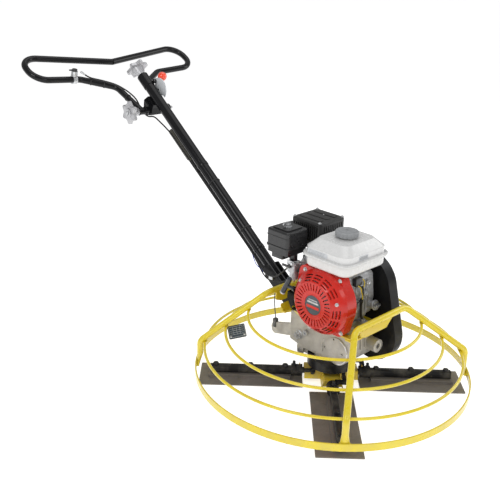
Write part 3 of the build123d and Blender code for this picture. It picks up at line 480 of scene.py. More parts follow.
LOOKS = {
    "guard_hoop": guard_yellow,
    "guard_rings": guard_yellow,
    "front_bail": guard_yellow,
    "rear_bail": guard_yellow,
    "deck_plate": frame_yellow,
    "bail_brackets": frame_yellow,
    "label_plate": label_dark,
    "gearbox_housing": gear_casting,
    "worm_shaft": bright_steel,
    "output_shaft": bright_steel,
    "dust_shroud": satin_black,
    "gearbox_pulley": zinc,
    "clutch_pulley": zinc,
    "v_belt": rubber,
    "belt_cover": satin_black,
    "spider": rotor_yellow,
    "pressure_plate": satin_black,
    "thrust_cap": bright_steel,
    "yoke_lever": gear_casting,
    "pitch_cable": cable_steel,
    "pitch_handwheel": knob_casting,
    "handle_tube": gloss_black,
    "lower_tube": gloss_black,
    "spring_tube": spring_coat,
    "handle_bracket": satin_black,
    "handlebar": gloss_black,
    "clamp_knob": knob_casting,
    "stop_switch": zinc,
    "stop_lever": black_plastic,
    "throttle_quadrant": label_pale,
    "throttle_lever": zinc,
    "control_cables": rubber,
    "engine_block": cast_aluminium,
    "cylinder_head": cast_aluminium,
    "crankshaft": bright_steel,
    "fan_cover": engine_red,
    "starter_grip": grip_plastic,
    "fuel_tank": tank_white,
    "fuel_cap": cap_grey,
    "air_cleaner_base": black_plastic,
    "air_cleaner_cover": black_plastic,
    "air_cleaner_nut": zinc,
    "muffler": heat_black,
    "muffler_guard": heat_black,
    "carburettor": cast_aluminium,
    "choke_lever": black_plastic,
    "oil_plug": zinc,
    "frame_fasteners": zinc,
}
for number in range(1, 5):
    LOOKS[f"arm_{number}"] = satin_black
    LOOKS[f"blade_{number}"] = blade_metal
    LOOKS[f"blade_bolts_{number}"] = dark_bolt

for node, material in LOOKS.items():
    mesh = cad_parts[node].data
    mesh.materials.clear()
    mesh.materials.append(material)

# The throttle ball is one node with its arm: faces near the ball take the ball's colour.
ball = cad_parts["throttle_lever"].data
ball.materials.append(ball_red)
ball_centre = at(-47.5, -1011, 941)
for face in ball.polygons:
    if (face.center - ball_centre).length < 0.0190:
        face.material_index = 1

# ---------------------------------------------------------------- guard and deck detail
RINGS = (446.0, 374.0, 297.0)
LEG = ((324.0, 332.0, 133.0), (134.0, 195.0, 308.0))


def leg_place(radius):
    """Where a leg's centreline passes a distance from the rotor axis."""
    low, high = 0.0, 1.0
    foot, head = LEG
    for _ in range(40):
        mid = (low + high) / 2
        x = foot[0] + (head[0] - foot[0]) * mid
        y = foot[1] + (head[1] - foot[1]) * mid
        if math.hypot(x, y) > radius:
            low = mid
        else:
            high = mid
    return [foot[i] + (head[i] - foot[i]) * low for i in range(3)]


def bead(points, radius, phase=0.0):
    """A short rippled run of weld."""
    ripple = lambda t: (0.78 + 0.22 * abs(math.sin(t * 19 + phase))) * min(1.0, 0.35 + 5 * min(t, 1 - t))
    return hose(points, radius, 10, 10, ripple)


def ring_welds():
    slope = (LEG[1][2] - LEG[0][2]) / math.hypot(LEG[1][0] - LEG[0][0], LEG[1][1] - LEG[0][1])
    drop = 15.5 * math.sqrt(1 + slope**2)
    parts = []
    for sx in (-1, 1):
        for sy in (-1, 1):
            for radius in RINGS:
                x, y, z = leg_place(radius)
                outward = Vector((sx * x, sy * y, 0)).normalized()
                along = Vector((-outward.y, outward.x, 0))
                middle = at(sx * x, sy * y, z - drop + 4.6)
                for lean in (-1, 1):
                    offset = outward * lean * 0.0052
                    run = [middle + offset + along * k * 0.0045 for k in (-2, -1, 0, 1, 2)]
                    parts.append(bead(run, 2.3, radius + lean))
    return parts


def foot_welds():
    parts = []
    for sx in (-1, 1):
        for sy in (-1, 1):
            angle = math.atan2(sy * 332, sx * 324)
            out = Vector((math.cos(angle), math.sin(angle), 0))
            along = Vector((-out.y, out.x, 0))
            wall = at(0, 0, 0) + out * 0.4738
            for lean in (-1, 1):
                run = [wall + along * lean * 0.0185 + Vector((0, 0, z)) for z in (0.041, 0.046, 0.051, 0.056, 0.0605)]
                parts.append(bead(run, 2.4, lean))
            top = [wall - out * 0.003 + along * k * 0.006 + Vector((0, 0, 0.0608)) for k in (-3, -1.5, 0, 1.5, 3)]
            parts.append(bead(top, 2.2, 1.0))
    return parts


def bracket_welds():
    parts = []
    for sy in (-1, 1):
        spans = ((-70, -50), (-20, 0), (30, 50), (72, 90)) if sy > 0 else ((-70, -52), (54, 72))
        for x0, x1 in spans:
            for dy in (-5.5, 7.5):
                xs = [x0 + (x1 - x0) * k / 4 for k in range(5)]
                y = 188.5 + dy * 0.65
                z = 297.3 if dy < 0 else 297.8
                parts.append(bead([at(x, sy * y, z) for x in xs], 2.1, x0))
    return parts


solid("ring_weld_beads", ring_welds(), guard_yellow, crease=60)
solid("foot_weld_beads", foot_welds(), guard_yellow, crease=60)
solid("bracket_weld_beads", bracket_welds(), frame_yellow, crease=60)

plate_axis = Vector((0.55, 0.55, 0.63)).normalized()
plate_x = Vector((0.75, -0.62, -0.22))
plate_x = (plate_x - plate_axis * plate_x.dot(plate_axis)).normalized()
plate_y = plate_axis.cross(plate_x)
plate_at = at(222, -252, 164) + plate_axis * 0.00202


def rule(x0, x1, y0, y1, lift, depth=0.25):
    """A thin raised rectangle on the hanging plate."""
    outline = [(x0, y0), (x1, y0), (x1, y1), (x0, y1)]
    return slab(outline, plate_at + plate_axis * lift / 1000, plate_x, plate_y, depth)


border = [rule(-28, 28, 18.2, 19, 0), rule(-28, 28, -19, -18.2, 0), rule(-28, -27.2, -19, 19, 0), rule(27.2, 28, -19, 19, 0)]
border += [rule(-24, 24, y, y + 0.7, 0) for y in (9, 2, -5, -12)]
border += [rule(x, x + 0.7, -15, 9, 0) for x in (-12, 0, 12)]
solid("plate_ruling", border, label_pale)
hooks = []
for x in (-24, 24):
    hole = plate_at + (plate_x * x + plate_y * 15) / 1000
    hooks.append(band(hole + plate_axis * 0.0004, plate_axis, [(0, 2.2), (0.5, 2.2), (0.5, 3.6), (0, 3.6)], 24))
solid("plate_eyelets", hooks, zinc)

# ---------------------------------------------------------------- gearbox detail
face_x = Vector((1, 0, 0))
ridge = [(0, 43.5), (1.6, 44.3), (1.8, 46.0), (1.6, 47.7), (0, 48.5)]
solid("bearing_ridge", [band(at(53.0, 62, 152), face_x, ridge, 40, -78, 150)], bright_steel)
parts = [band(at(50.0, -111, 150), face_x, [(0.1, 17), (1.4, 17), (1.4, 20), (0.1, 20.4)], 32)]
parts += [band(at(50.0, 88, 150), face_x, [(3.0, 3.4), (3.6, 3.6), (3.6, 5.6), (3.0, 6.2)], 24)]
parts += [band(at(50.0, y, z), face_x, [(0.0, 3.4), (0.5, 3.6), (0.5, 5.4), (0.0, 6.0)], 24) for y, z in ((48, 192), (10, 148))]
solid("gearbox_spot_faces", parts, gear_casting)
parts = hex_head(at(24, 112.2, 134), (0, 1, 0), 14, 8, 10)
parts += hex_head(at(24, 112.2, 206), (0, 1, 0), 12, 7, 9)
solid("oil_plugs", parts, zinc, bevel=0.3)
seam = slab([(-148, 0), (104, 0), (104, 2.2), (-148, 2.2)], at(50.0, 0, 221), (0, 1, 0), (0, 0, 1), 0.9)
rib_low = slab([(-146, 0), (-118, 0), (-112, -8), (-118, -10), (-146, -4)], at(50.0, 0, 128), (0, 1, 0), (0, 0, 1), 1.2)
solid("gearbox_cast_lips", [seam, rib_low], gear_casting, bevel=0.4)
ribs = []
for x in (-36, -12, 12, 36):
    ribs.append(slab([(0, 0), (7, 0), (3, 62), (0, 62)], at(x - 2.5, 111.6, 158), (0, 1, 0), (0, 0, 1), 5))
solid("gearbox_front_ribs", ribs, gear_casting, bevel=1.0)
boss_ring = band(at(-62, 150, 168), (0, 1, 0), [(0, 9.4), (1.0, 10.4), (1.6, 12.5), (1.2, 20.5), (0, 22.6)], 40)
solid("boss_lip", [boss_ring], gear_casting)

# ---------------------------------------------------------------- rotor detail
for number in range(4):
    angle = math.radians(45 + 90 * number)
    out = Vector((math.cos(angle), math.sin(angle), 0))
    cross = Vector((-out.y, out.x, 0))
    up_axis = Vector((0, 0, 1))
    hub = at(0, 0, 0)
    body = f"trowel_arm_{number + 1}"

    def spot(radius, offset, z):
        return hub + (out * radius + cross * offset) / 1000 + Vector((0, 0, z / 1000))

    nipple = [(0, 3.2), (1.5, 3.2), (2.0, 2.2), (4.5, 2.2), (5.5, 1.4), (6.5, 1.9), (8.0, 1.7), (8.8, 0.7)]
    solid(f"grease_nipple_{number + 1}", [lathe(spot(110, 0, 50.6), up_axis, nipple, 20)], brass, body)
    parts = [lathe(spot(130, 0, 49), up_axis, [(0, 4), (16, 4), (17, 3.2)], 20)]
    parts += hex_head(spot(130, 0, 50.6), up_axis, 13, 5.5)
    parts += hex_head(spot(130, 0, 60), up_axis, 10, 5)
    solid(f"lock_screw_{number + 1}", parts, dark_bolt, body, bevel=0.25)
    collars = [
        band(spot(100, 0, 30), out, [(0, 12), (1.5, 19), (0, 21.6), (4, 21.8), (5, 21.0), (5, 12)], 40),
        band(spot(133, 0, 30), out, [(0, 20.8), (2, 22.0), (6, 21.8), (7, 20.8), (7, 18), (0, 18)], 40),
    ]
    solid(f"collar_rims_{number + 1}", collars, satin_black, body)
    root_bead = [spot(138.6, 12.4 * math.cos(t), 30 + 13.2 * math.sin(t)) for t in [math.pi * k / 9 for k in range(10)]]
    solid(f"arm_weld_{number + 1}", [bead(root_bead, 2.6)], satin_black, body, crease=60)
    washers = []
    for radius in (161, 284, 407):
        washers.append(lathe(spot(radius, 0, 44.0), up_axis, [(0, 10.5), (1.2, 10.5), (1.5, 9.5)], 30))
    solid(f"arm_washers_{number + 1}", washers, dark_bolt, body)
    lips = []
    for lean in (-1, 1):
        lips.append(bead([spot(r, lean * 23.4, 3.4) for r in range(150, 431, 28)], 1.5, radius))
    solid(f"channel_welds_{number + 1}", lips, blade_metal, body, crease=60)

# ---------------------------------------------------------------- blower housing detail
hub_face = at(145.6, 27, 342)
solid("hub_disc", [lathe(hub_face, face_x, [(0.0, 33.4), (1.1, 33.4), (1.7, 32.6), (1.9, 0.4)], 64)], label_dark)
emblem = [(-25, 6), (25, 6), (23, 12.5), (-23, 12.5)]
solid("hub_band_pale", [slab(emblem, hub_face + Vector((0.0018, 0, 0)), (0, 1, 0), (0, 0, 1), 0.5)], zinc, bevel=0.15)
emblem = [(-26, -12), (26, -12), (27, -2), (-27, -2)]
solid("hub_band_red", [slab(emblem, hub_face + Vector((0.0018, 0, 0)), (0, 1, 0), (0, 0, 1), 0.5)], engine_red, bevel=0.15)
emblem = [(-20, 16), (20, 16), (17, 19.5), (-17, 19.5)]
solid("hub_band_upper", [slab(emblem, hub_face + Vector((0.0018, 0, 0)), (0, 1, 0), (0, 0, 1), 0.5)], zinc, bevel=0.15)
rims = [
    band(at(146.9, 27, 342), face_x, [(0, 34.0), (1.0, 34.8), (1.2, 36.6), (0.8, 38.4), (0, 39.0)], 64),
    band(at(146.9, 27, 342), face_x, [(0, 76.0), (0.9, 76.6), (1.1, 78.0), (0.6, 79.4), (0, 79.8)], 72),
]
solid("housing_rims", rims, engine_red)
lugs, screws = [], []
for degrees in (18, 138, 258):
    a = math.radians(degrees)
    radial = Vector((0, math.cos(a), math.sin(a)))
    axis = (face_x * 0.70 + radial * 0.72).normalized()
    foot = at(133.5, 27, 342) + radial * 0.0925
    lugs.append(lathe(foot - axis * 0.004, axis, [(0, 10.5), (4.6, 10.2), (5.6, 8.8), (5.8, 6.0)], 32))
    screws += hex_head(foot + axis * 0.0017, axis, 9, 4.2, 6.2)
solid("starter_lugs", lugs, engine_red)
for y, z in ((113, 257), (-60, 262), (95, 436), (-54, 431)):
    screws += hex_head(at(100.1, y, z), face_x, 10, 5, 8)
solid("housing_screws", screws, zinc, bevel=0.25)
solid("rope_guide", [band(at(128, -70, 361), (0, -1, 0), [(0, 5.2), (7, 5.2), (9, 6.5), (8, 9), (0, 10)], 32)], black_plastic)
solid("grip_end_cap", [lathe(at(128, -125.6, 334.0), (0, -0.461, -0.887), [(0, 9.3), (4.5, 9.3), (6.4, 7.5), (7.0, 3)], 32)], label_pale, "starter")
grip_ribs = []
for k in range(5):
    reach = 8 + 8.5 * k
    grip_ribs.append(band(at(128, -124 + 0.461 * reach, 337 + 0.887 * reach), (0, 0.461, 0.887), [(0, 8.6), (0.8, 9.6), (2.0, 9.6), (2.8, 8.6)], 28))
solid("grip_ribs", grip_ribs, grip_plastic, "starter")

# ---------------------------------------------------------------- fuel tank detail
def tank_label(centre, u, v, w, h, name, material):
    return solid(name, [slab(rounded(w, h, 1.6), centre, u, v, 0.35)], material, bevel=0.1)


tank_label(at(118.02, 10, 511), (0, 1, 0), (0, 0, 1), 84, 17, "tank_label_side", label_pale)
tank_label(at(34, 131.02, 511), (-1, 0, 0), (0, 0, 1), 46, 17, "tank_label_front", label_pale)
lines = [slab([(-38, y), (30, y), (30, y + 0.8), (-38, y + 0.8)], at(118.38, 10, 511), (0, 1, 0), (0, 0, 1), 0.12) for y in (4, 0, -4)]
lines.append(slab([(-20, -5), (20, -5), (20, 5), (-20, 5)], at(34, 131.38, 511), (-1, 0, 0), (0, 0, 1), 0.12))
solid("tank_label_rules", lines, label_grey)
seam_line = []
for z, grow in ((493.4, 0), (499.4, 0)):
    outline = rounded(237.4, 207.4, 40.6, 10)
    seam_line.append(slab(outline, at(10, 39, z), (1, 0, 0), (0, 1, 0), 0.6))
solid("tank_seam_bead", seam_line, tank_white, bevel=0.25)
neck = band(at(10, 39, 553.0), (0, 0, 1), [(0, 22.4), (0, 30.5), (1.6, 31.2), (2.8, 29.0), (3.0, 22.4)], 48)
solid("filler_collar", [neck], zinc)
crown = [lathe(at(10, 39, 572.9), (0, 0, 1), [(0, 30), (1.4, 29.4), (2.0, 26), (1.4, 23), (1.3, 2)], 48)]
for k in range(3):
    crown.append(slab([(-2, -20), (2, -20), (2, 20), (-2, 20)], at(10, 39, 574.0), (math.cos(k * 1.047), math.sin(k * 1.047), 0), (-math.sin(k * 1.047), math.cos(k * 1.047), 0), 0.8))
solid("cap_crown", crown, cap_grey, "fuel_cap", bevel=0.2)
tank_bolts = []
for x, y in ((-88, -44), (-88, 122)):
    tank_bolts += hex_head(at(x, y, 499.2), (0, 0, 1), 10, 5, 8)
solid("tank_bolts", tank_bolts, zinc, bevel=0.25)
tap = [lathe(at(60, -40, 455.5), (0, 0, -1), [(0, 9), (8, 9), (9, 7), (20, 7), (21, 4)], 28)]
tap.append(lathe(at(60, -40, 441), (0, -1, 0), [(0, 4.2), (16, 4.2), (16.5, 3.2)], 20))
solid("fuel_tap", tap, zinc, bevel=0.2)
fuel_line = [at(60, -55, 441), at(62, -68, 436), at(72, -82, 424), at(84, -92, 412), at(88, -101, 404)]
solid("fuel_hose", [hose(fuel_line, 3.6, 14, 10)], rubber, crease=60)

# ---------------------------------------------------------------- air cleaner and silencer detail
step = slab(rounded(107, 107, 14, 8), at(80, -160, 484), (1, 0, 0), (0, 1, 0), 6)
shelf = slab(rounded(104.6, 104.6, 13, 8), at(80, -160, 522), (1, 0, 0), (0, 1, 0), 3)
solid("cleaner_lip", [step, shelf], black_plastic, bevel=0.9)
under = [brick((46, 116), (-200, -146), (440, 462.5), 6), lathe(at(98, -150, 452), (0, 1, 0), [(0, 9), (10, 9), (12, 7)], 28)]
solid("cleaner_under", under, black_plastic, bevel=0.9)
solid("cleaner_screw", hex_head(at(98, -138, 452), (0, 1, 0), 8, 3.6, 6), zinc, bevel=0.2)
solid("cleaner_washer", [band(at(80, -160, 550.0), (0, 0, 1), [(0, 6), (0, 15), (0.5, 15), (0.5, 6)], 40)], zinc)
ridges = []
for k in range(3):
    x = -92 + 37 * k
    ridges.append(slab(rounded(22, 96, 5), at(x, -142, 561.4), (1, 0, 0), (0, 1, 0), 2.6))
solid("guard_ridges", ridges, heat_black, bevel=1.0)
guard_screws = []
for x, y in ((-114, -84), (4, -84), (4, -200), (-114, -200)):
    guard_screws += hex_head(at(x, y, 561.6), (0, 0, 1), 8, 4, 6.5)
for x in (-84, -26):
    guard_screws += hex_head(at(x, -142, 557.6), (0, 0, 1), 8, 6)
solid("guard_screws", guard_screws, zinc, bevel=0.2)
pipe_end = band(at(-96, -206, 480), (0, -1, 0), [(-4, 9.5), (14, 9.5), (14.5, 10.4), (14, 11.4), (-4, 11.4)], 32)
solid("exhaust_outlet", [pipe_end], heat_black)

# ---------------------------------------------------------------- crankcase detail
case_ribs = []
for x in (-50, -36, 34, 48):
    case_ribs.append(brick((x - 2, x + 2), (86, 93), (278, 402), 0.9))
case_ribs.append(brick((-58, 54), (86, 92), (330, 334), 0.6))
case_ribs.append(lathe(at(8, 86, 300), (0, 1, 0), [(0, 17), (7, 16), (8.4, 14), (8.6, 3)], 36))
case_ribs.append(lathe(at(-12, 86, 372), (0, 1, 0), [(0, 22), (6, 21), (7.2, 19), (7.0, 4)], 36))
case_ribs.append(lathe(at(-40, 86, 352), (0, 1, 0), [(0, 11), (12, 10), (13.4, 8), (13.6, 2)], 32))
case_ribs.append(lathe(at(-46, 86, 392), (0, 1, 0), [(0, 9), (14, 8.5), (15, 7), (15.2, 2)], 32))
solid("crankcase_ribs", case_ribs, cast_aluminium, bevel=0.8)
case_bolts = hex_head(at(8, 94.4, 300), (0, 1, 0), 12, 6, 9)
case_bolts += hex_head(at(-40, 99.4, 352), (0, 1, 0), 10, 5, 7.5)
case_bolts += hex_head(at(-46, 101, 392), (0, 1, 0), 10, 5, 7.5)
for y, z in ((-30, 278), (20, 270), (76, 276), (84, 330), (74, 404), (20, 412), (-28, 404)):
    case_bolts += hex_head(at(-88.1, y, z), (-1, 0, 0), 10, 5, 7.5)
solid("crankcase_bolts", case_bolts, zinc, bevel=0.25)
filler = band(at(-75, 111.4, 304.5), (0, 27, 6), [(0, 14.6), (0, 17.5), (3.2, 17.8), (4.0, 16.4), (3.6, 15.4)], 40)
solid("filler_ring", [filler], cast_aluminium)
coil = brick((-8, 26), (88, 104), (396, 424), 2.5)
solid("ignition_module", [coil], black_plastic, bevel=1.4)
loom = [
    hose([at(4, 100, 398), at(-2, 108, 384), at(-14, 106, 368), at(-20, 101, 352), at(-18, 98, 336)], 2.1, 10, 9),
    hose([at(10, 100, 398), at(4, 109, 386), at(-9, 108, 366), at(-16, 103, 350), at(-17, 101, 336)], 2.1, 10, 9),
    hose([at(46, 90, 372), at(52, 99, 356), at(40, 104, 340), at(18, 104, 334), at(-10, 101, 336)], 2.0, 10, 9),
]
solid("loom_black", loom, rubber, crease=60)
loom = [
    hose([at(16, 100, 400), at(8, 110, 390), at(0, 109, 372), at(-12, 105, 356), at(-15, 103, 340)], 1.8, 10, 9),
    hose([at(-6, 96, 420), at(-14, 106, 408), at(-10, 110, 394), at(-4, 106, 380)], 1.6, 10, 9),
]
solid("loom_yellow", loom, yellow_wire, crease=60)
boots = [lathe(at(-17, 100, 342), (0.05, -0.1, -1), [(0, 4), (2, 6), (14, 6.6), (16, 5), (30, 4.4), (31, 3)], 24)]
boots.append(lathe(at(-4, 106, 392), (-0.3, 0.1, -1), [(0, 3), (1.5, 5), (15, 5), (17, 3.4)], 24))
solid("loom_boots", boots, rubber, bevel=0.2)
drop_tube = [at(-17, 97, 314), at(-19, 97, 296), at(-24, 96, 276), at(-30, 98, 258)]
solid("breather_tube", [hose(drop_tube, 4.4, 14, 9)], rubber, crease=60)

# ---------------------------------------------------------------- carburettor and head detail
linkage = [
    brick((100.2, 102.2), (-136, -106), (426, 442), 2),
    lathe(at(100.2, -114, 432), (1, 0, 0), [(0, 6), (5, 6), (6, 4.5)], 24),
    lathe(at(81, -138.2, 410), (0, -1, 0), [(0, 6.5), (8, 6.5), (9, 5), (9.4, 2)], 24),
    hose([at(102, -110, 440), at(98, -96, 446), at(84, -80, 447), at(66, -64, 440)], 1.2, 8, 8),
]
solid("throttle_linkage", linkage, zinc, bevel=0.2)
solid("governor_spring", [spring(at(99, -98, 440), at(70, -62, 438), 2.6, 0.55, 15)], bright_steel, crease=60)
flange_bolts = []
for y, z in ((-128, 426), (-110, 406)):
    flange_bolts += hex_head(at(63.1, y, z), (1, 0, 0), 8, 5)
flange_bolts += pan_head(at(92, -104.0, 428), (0, 1, 0), 3.4, 2.6)
flange_bolts += pan_head(at(72, -104.0, 428), (0, 1, 0), 3.4, 2.6)
for x, y in ((68, -134), (96, -134), (68, -108), (96, -108)):
    flange_bolts += pan_head(at(x, y, 434.0), (0, 0, 1), 3.2, 2.4)
solid("carburettor_screws", flange_bolts, zinc, bevel=0.15)
solid("drain_spigot", [lathe(at(81, -121, 364), (0, 0, -1), [(0, 3.6), (6, 3.6), (7, 2.6)], 20)], brass)
slope_axis = Vector((0, -0.866, 0.5))
head_top = at(0, -45 - 0.866 * 100, 368 + 0.5 * 100)
head_u = Vector((1, 0, 0))
head_v = slope_axis.cross(head_u).normalized()
cover_bolts = []
for a, b in ((-36, -28), (36, -28), (-36, 28), (36, 28)):
    cover_bolts += hex_head(head_top + (head_u * a + head_v * b) / 1000 + slope_axis * 0.0001, slope_axis, 10, 5, 7.5)
solid("rocker_cover_bolts", cover_bolts, zinc, bevel=0.25)
press = slab(rounded(60, 44, 8), head_top + slope_axis * 0.0, head_u, head_v * -1, -3.0)
solid("rocker_cover_pad", [press], cast_aluminium, bevel=1.0)
plug_base = at(-20, -152, 376)
plug_axis = Vector((-0.2, -0.9, -0.38)).normalized()
plug = [lathe(plug_base, plug_axis, [(-18, 7), (0, 7), (1, 9.5), (8, 9.5), (9, 6)], 6)]
solid("spark_plug", plug, zinc, bevel=0.3)
boot = [lathe(plug_base + plug_axis * 0.008, plug_axis, [(0, 7), (2, 9), (22, 9), (26, 7.5), (34, 5.5), (35, 4)], 28)]
solid("plug_boot", boot, rubber, bevel=0.3)
lead = [plug_base + plug_axis * 0.040, at(-34, -196, 350), at(-50, -186, 322), at(-66, -130, 300), at(-66, -80, 312), at(-60, -46, 330)]
solid("plug_lead", [hose(lead, 3.4, 14, 10)], rubber, crease=60)

# ---------------------------------------------------------------- belt guard detail
studs = []
for y, z in ((-62, 370), (116, 380), (150, 150), (-8, 190), (27, 440)):
    studs += hex_head(at(-160.0, y, z), (-1, 0, 0), 13, 6, 10)
solid("belt_guard_bolts", studs, zinc, bevel=0.3)
swage = band(at(-159.6, 27, 342), (-1, 0, 0), [(0, 60), (1.6, 62), (2.0, 66), (1.6, 70), (0, 72)], 56)
swage_low = band(at(-159.6, 80, 182), (-1, 0, 0), [(0, 48), (1.6, 50), (2.0, 54), (1.6, 58), (0, 60)], 56)
solid("belt_guard_swages", [swage, swage_low], satin_black)
solid("guard_blank_label", [slab(rounded(70, 34, 2), at(-160.05, 50, 320), (0, -1, 0), (0, 0, 1), 0.3)], label_pale, bevel=0.1)

# ---------------------------------------------------------------- handle detail
def strap(place, axis, inner, width, body, name, head_turn=0.0):
    """A moulded tie round a bar, with its locking head and cut tail."""
    m = basis(axis)
    profile = [(-width / 2, inner), (-width / 2, inner + 1.3), (width / 2, inner + 1.3), (width / 2, inner)]
    parts = [band(place, axis, profile, 36)]
    turn = math.radians(head_turn)
    radial = m @ Vector((math.cos(turn), math.sin(turn), 0))
    across = Vector(axis).normalized().cross(radial)
    parts.append(slab(rounded(width + 2.4, 6.5, 1.2), place + radial * (inner + 0.4) / 1000, axis, across, 4.2))
    parts.append(slab([(-width / 2, 0), (width / 2, 0), (width / 2 - 0.6, 11), (0.6 - width / 2, 11)], place + radial * (inner + 3.4) / 1000, axis, across, 1.0))
    return solid(name, parts, rubber, body, bevel=0.25)


bar_from, bar_to = at(72, -1164, 889), at(196, -1244, 922)
bar_axis = bar_to - bar_from
strap(bar_from + bar_axis * 0.70, bar_axis, 13.1, 5, "handlebar", "cable_tie_1", 100)
strap(bar_from + bar_axis * 0.34, bar_axis, 13.1, 5, "handlebar", "cable_tie_2", 100)
low_from, low_to = at(60, -1010, 812), at(72, -1164, 889)
strap(low_from + (low_to - low_from) * 0.55, low_to - low_from, 13.1, 5, "handlebar", "cable_tie_3", 40)
tube_axis = on_handle(200, 0) - on_handle(100, 0)
for number, along in enumerate((330, 560)):
    strap(on_handle(along, 0), tube_axis, 21.1, 5, "frame", f"tube_tie_{number + 1}", 150)
for number, along in enumerate((237, 647)):
    clamp = band(on_handle(along, 0), tube_axis, [(-7, 21.05), (-7, 22.4), (7, 22.4), (7, 21.05)], 48)
    solid(f"tube_clip_band_{number + 1}", [clamp], gloss_black, bevel=0.4)
weld = [on_handle(1072, 0) + basis(tube_axis) @ (Vector((math.cos(k * math.pi / 18), math.sin(k * math.pi / 18), 0)) * 0.0218) for k in range(36)]
solid("tube_collar_weld", [hose(weld + weld[:1], 1.3, 8, 2)], gloss_black, crease=60)
cross_welds = []
for x in (45.5, 74.5):
    loop = [at(x, -1010, 812) + Vector((0, math.cos(k * math.pi / 12), math.sin(k * math.pi / 12))) * 0.0152 for k in range(25)]
    for sx in (-1, 1):
        cross_welds.append(hose([Vector((p.x * sx, p.y, p.z)) for p in loop], 1.5, 8, 2))
solid("cross_tube_welds", cross_welds, gloss_black, "handlebar", crease=60)
blue_run = [on_handle(236, -20, 24), on_handle(214, -26, 27), on_handle(190, -30, 29), on_handle(168, -25, 27)]
solid("blue_lead", [hose(blue_run, 1.5, 10, 9)], blue_wire, crease=60)
solid("blue_connector", [lathe(on_handle(168, -25, 27), on_handle(168, -25) - on_handle(190, -28), [(-4, 2.0), (-3, 3.2), (8, 3.2), (9, 2.2), (16, 2.0)], 20)], blue_wire, bevel=0.2)
second_cable = [on_handle(846, -19, 31), on_handle(640, -16, 29), on_handle(420, -15, 29), on_handle(240, -14, 29), at(50, -292, 316), at(58, -230, 318), at(62, -172, 340), at(66, -150, 366)]
solid("throttle_cable", [hose(second_cable, 2.4, 12, 14)], rubber, crease=60)
ferrule = [lathe(at(81, -142, 412), (0, -0.75, -0.66), [(0, 4.2), (12, 4.2), (13, 3.2), (22, 3.2), (23, 3.05)], 20)]
ferrule.append(lathe(at(196, -1229, 953), (-0.74, 0.32, -0.6), [(-3, 4.4), (9, 4.4), (10, 3.3), (18, 3.1)], 20))
solid("cable_ferrules", ferrule, zinc, bevel=0.2)
pivot = hex_head(at(-38.0, -1006, 892), (-1, 0, 0), 13, 6, 11)
solid("throttle_pivot_nut", pivot, dark_bolt, "throttle", bevel=0.3)
solid("quadrant_knob", [lathe(at(-24.8, -1026, 923), (1, 0, 0), [(0, 5), (2, 8.5), (10, 9), (12, 6.5)], 28)], black_plastic, bevel=0.4)
for name, base, axis, body in (
    ("pitch_knob_bolt", on_handle(1133 + 1 + 53, 0), (0, -math.cos(TILT), math.sin(TILT)), "pitch_knob"),
    ("clamp_knob_bolt", at(78 + 51, -1010, 812), (1, 0, 0), "clamp_knob"),
):
    parts = hex_head(base, axis, 15, 6)
    parts.append(band(base, axis, [(-0.3, 10), (-0.3, 15.4), (1.0, 15.0), (1.0, 10)], 40))
    solid(name, parts, zinc, body, bevel=0.35)
plug_profile = [(-3, 12), (0.2, 14.6), (1.6, 14.4), (2.2, 12.5), (2.4, 7)]
bar_plug = lathe(at(-76, -1010, 812), (-1, 0, 0), plug_profile, 36)
solid("cross_tube_caps", [bar_plug], black_plastic, "handlebar")

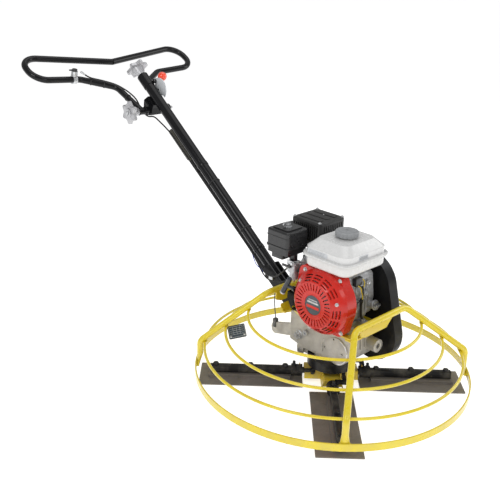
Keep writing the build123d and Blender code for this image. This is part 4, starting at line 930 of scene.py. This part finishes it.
# ---------------------------------------------------------------- camera, lights, floor
AZ, EL, ROLL = (math.radians(a) for a in (136.02, 21.024, 1.232))
back = Vector((math.sin(AZ) * math.cos(EL), -math.cos(AZ) * math.cos(EL), math.sin(EL)))
right = Vector((math.cos(AZ), math.sin(AZ), 0))
up = back.cross(right)
side = right * math.cos(ROLL) + up * math.sin(ROLL)
top = up * math.cos(ROLL) - right * math.sin(ROLL)
camera = bpy.data.objects.new("camera", bpy.data.cameras.new("camera"))
camera.data.lens = 53.22
camera.data.sensor_width = 36.0
camera.data.sensor_fit = "HORIZONTAL"
camera.data.clip_start = 0.05
camera.matrix_world = Matrix.Translation(at(1812, 1453, 1369)) @ Matrix((side, top, back)).transposed().to_4x4()
bpy.context.scene.collection.objects.link(camera)
bpy.context.scene.camera = camera


def softbox(name, place, target, size, power, tint=(1, 1, 1)):
    data = bpy.data.lights.new(name, "AREA")
    data.shape = "RECTANGLE"
    data.size, data.size_y = size
    data.energy = power
    data.color = tint
    obj = bpy.data.objects.new(name, data)
    obj.location = place
    obj.rotation_euler = (Vector(target) - Vector(place)).to_track_quat("-Z", "Y").to_euler()
    bpy.context.scene.collection.objects.link(obj)
    return obj


softbox("key_softbox", (3.2, 0.6, 3.0), (0, 0.3, 0.25), (1.6, 1.6), 36)
softbox("front_softbox", (0.4, 3.6, 2.4), (0, 0.3, 0.2), (2.0, 1.4), 20)
softbox("top_softbox", (-0.6, -0.2, 3.6), (0, 0, 0.3), (2.8, 2.8), 30)
softbox("left_softbox", (-3.0, 1.2, 1.8), (0, 0, 0.4), (1.4, 2.0), 20)

world = bpy.data.worlds.new("studio")
world.use_nodes = True
world.node_tree.nodes["Background"].inputs["Color"].default_value = (1.0, 1.0, 1.0, 1)
world.node_tree.nodes["Background"].inputs["Strength"].default_value = 0.42
bpy.context.scene.world = world
bpy.context.scene.view_settings.view_transform = "Standard"
bpy.context.scene.view_settings.look = "None"

floor_mesh = bpy.data.meshes.new("studio_floor")
rim = 90.0
floor_mesh.from_pydata([(-rim, -rim, -0.0005), (rim, -rim, -0.0005), (rim, rim, -0.0005), (-rim, rim, -0.0005)], [], [(0, 1, 2, 3)])
studio_floor = bpy.data.objects.new("studio_floor", floor_mesh)
bpy.context.scene.collection.objects.link(studio_floor)
pale = Surface("studio_floor", (0.93, 0.93, 0.93), 0.75)
pale.vary_rough(pale.noise(3.0), 0.05)
pale.shader.inputs["Emission Color"].default_value = (1.0, 1.0, 1.0, 1)
pale.shader.inputs["Emission Strength"].default_value = 0.62
floor_mesh.materials.append(pale.done())
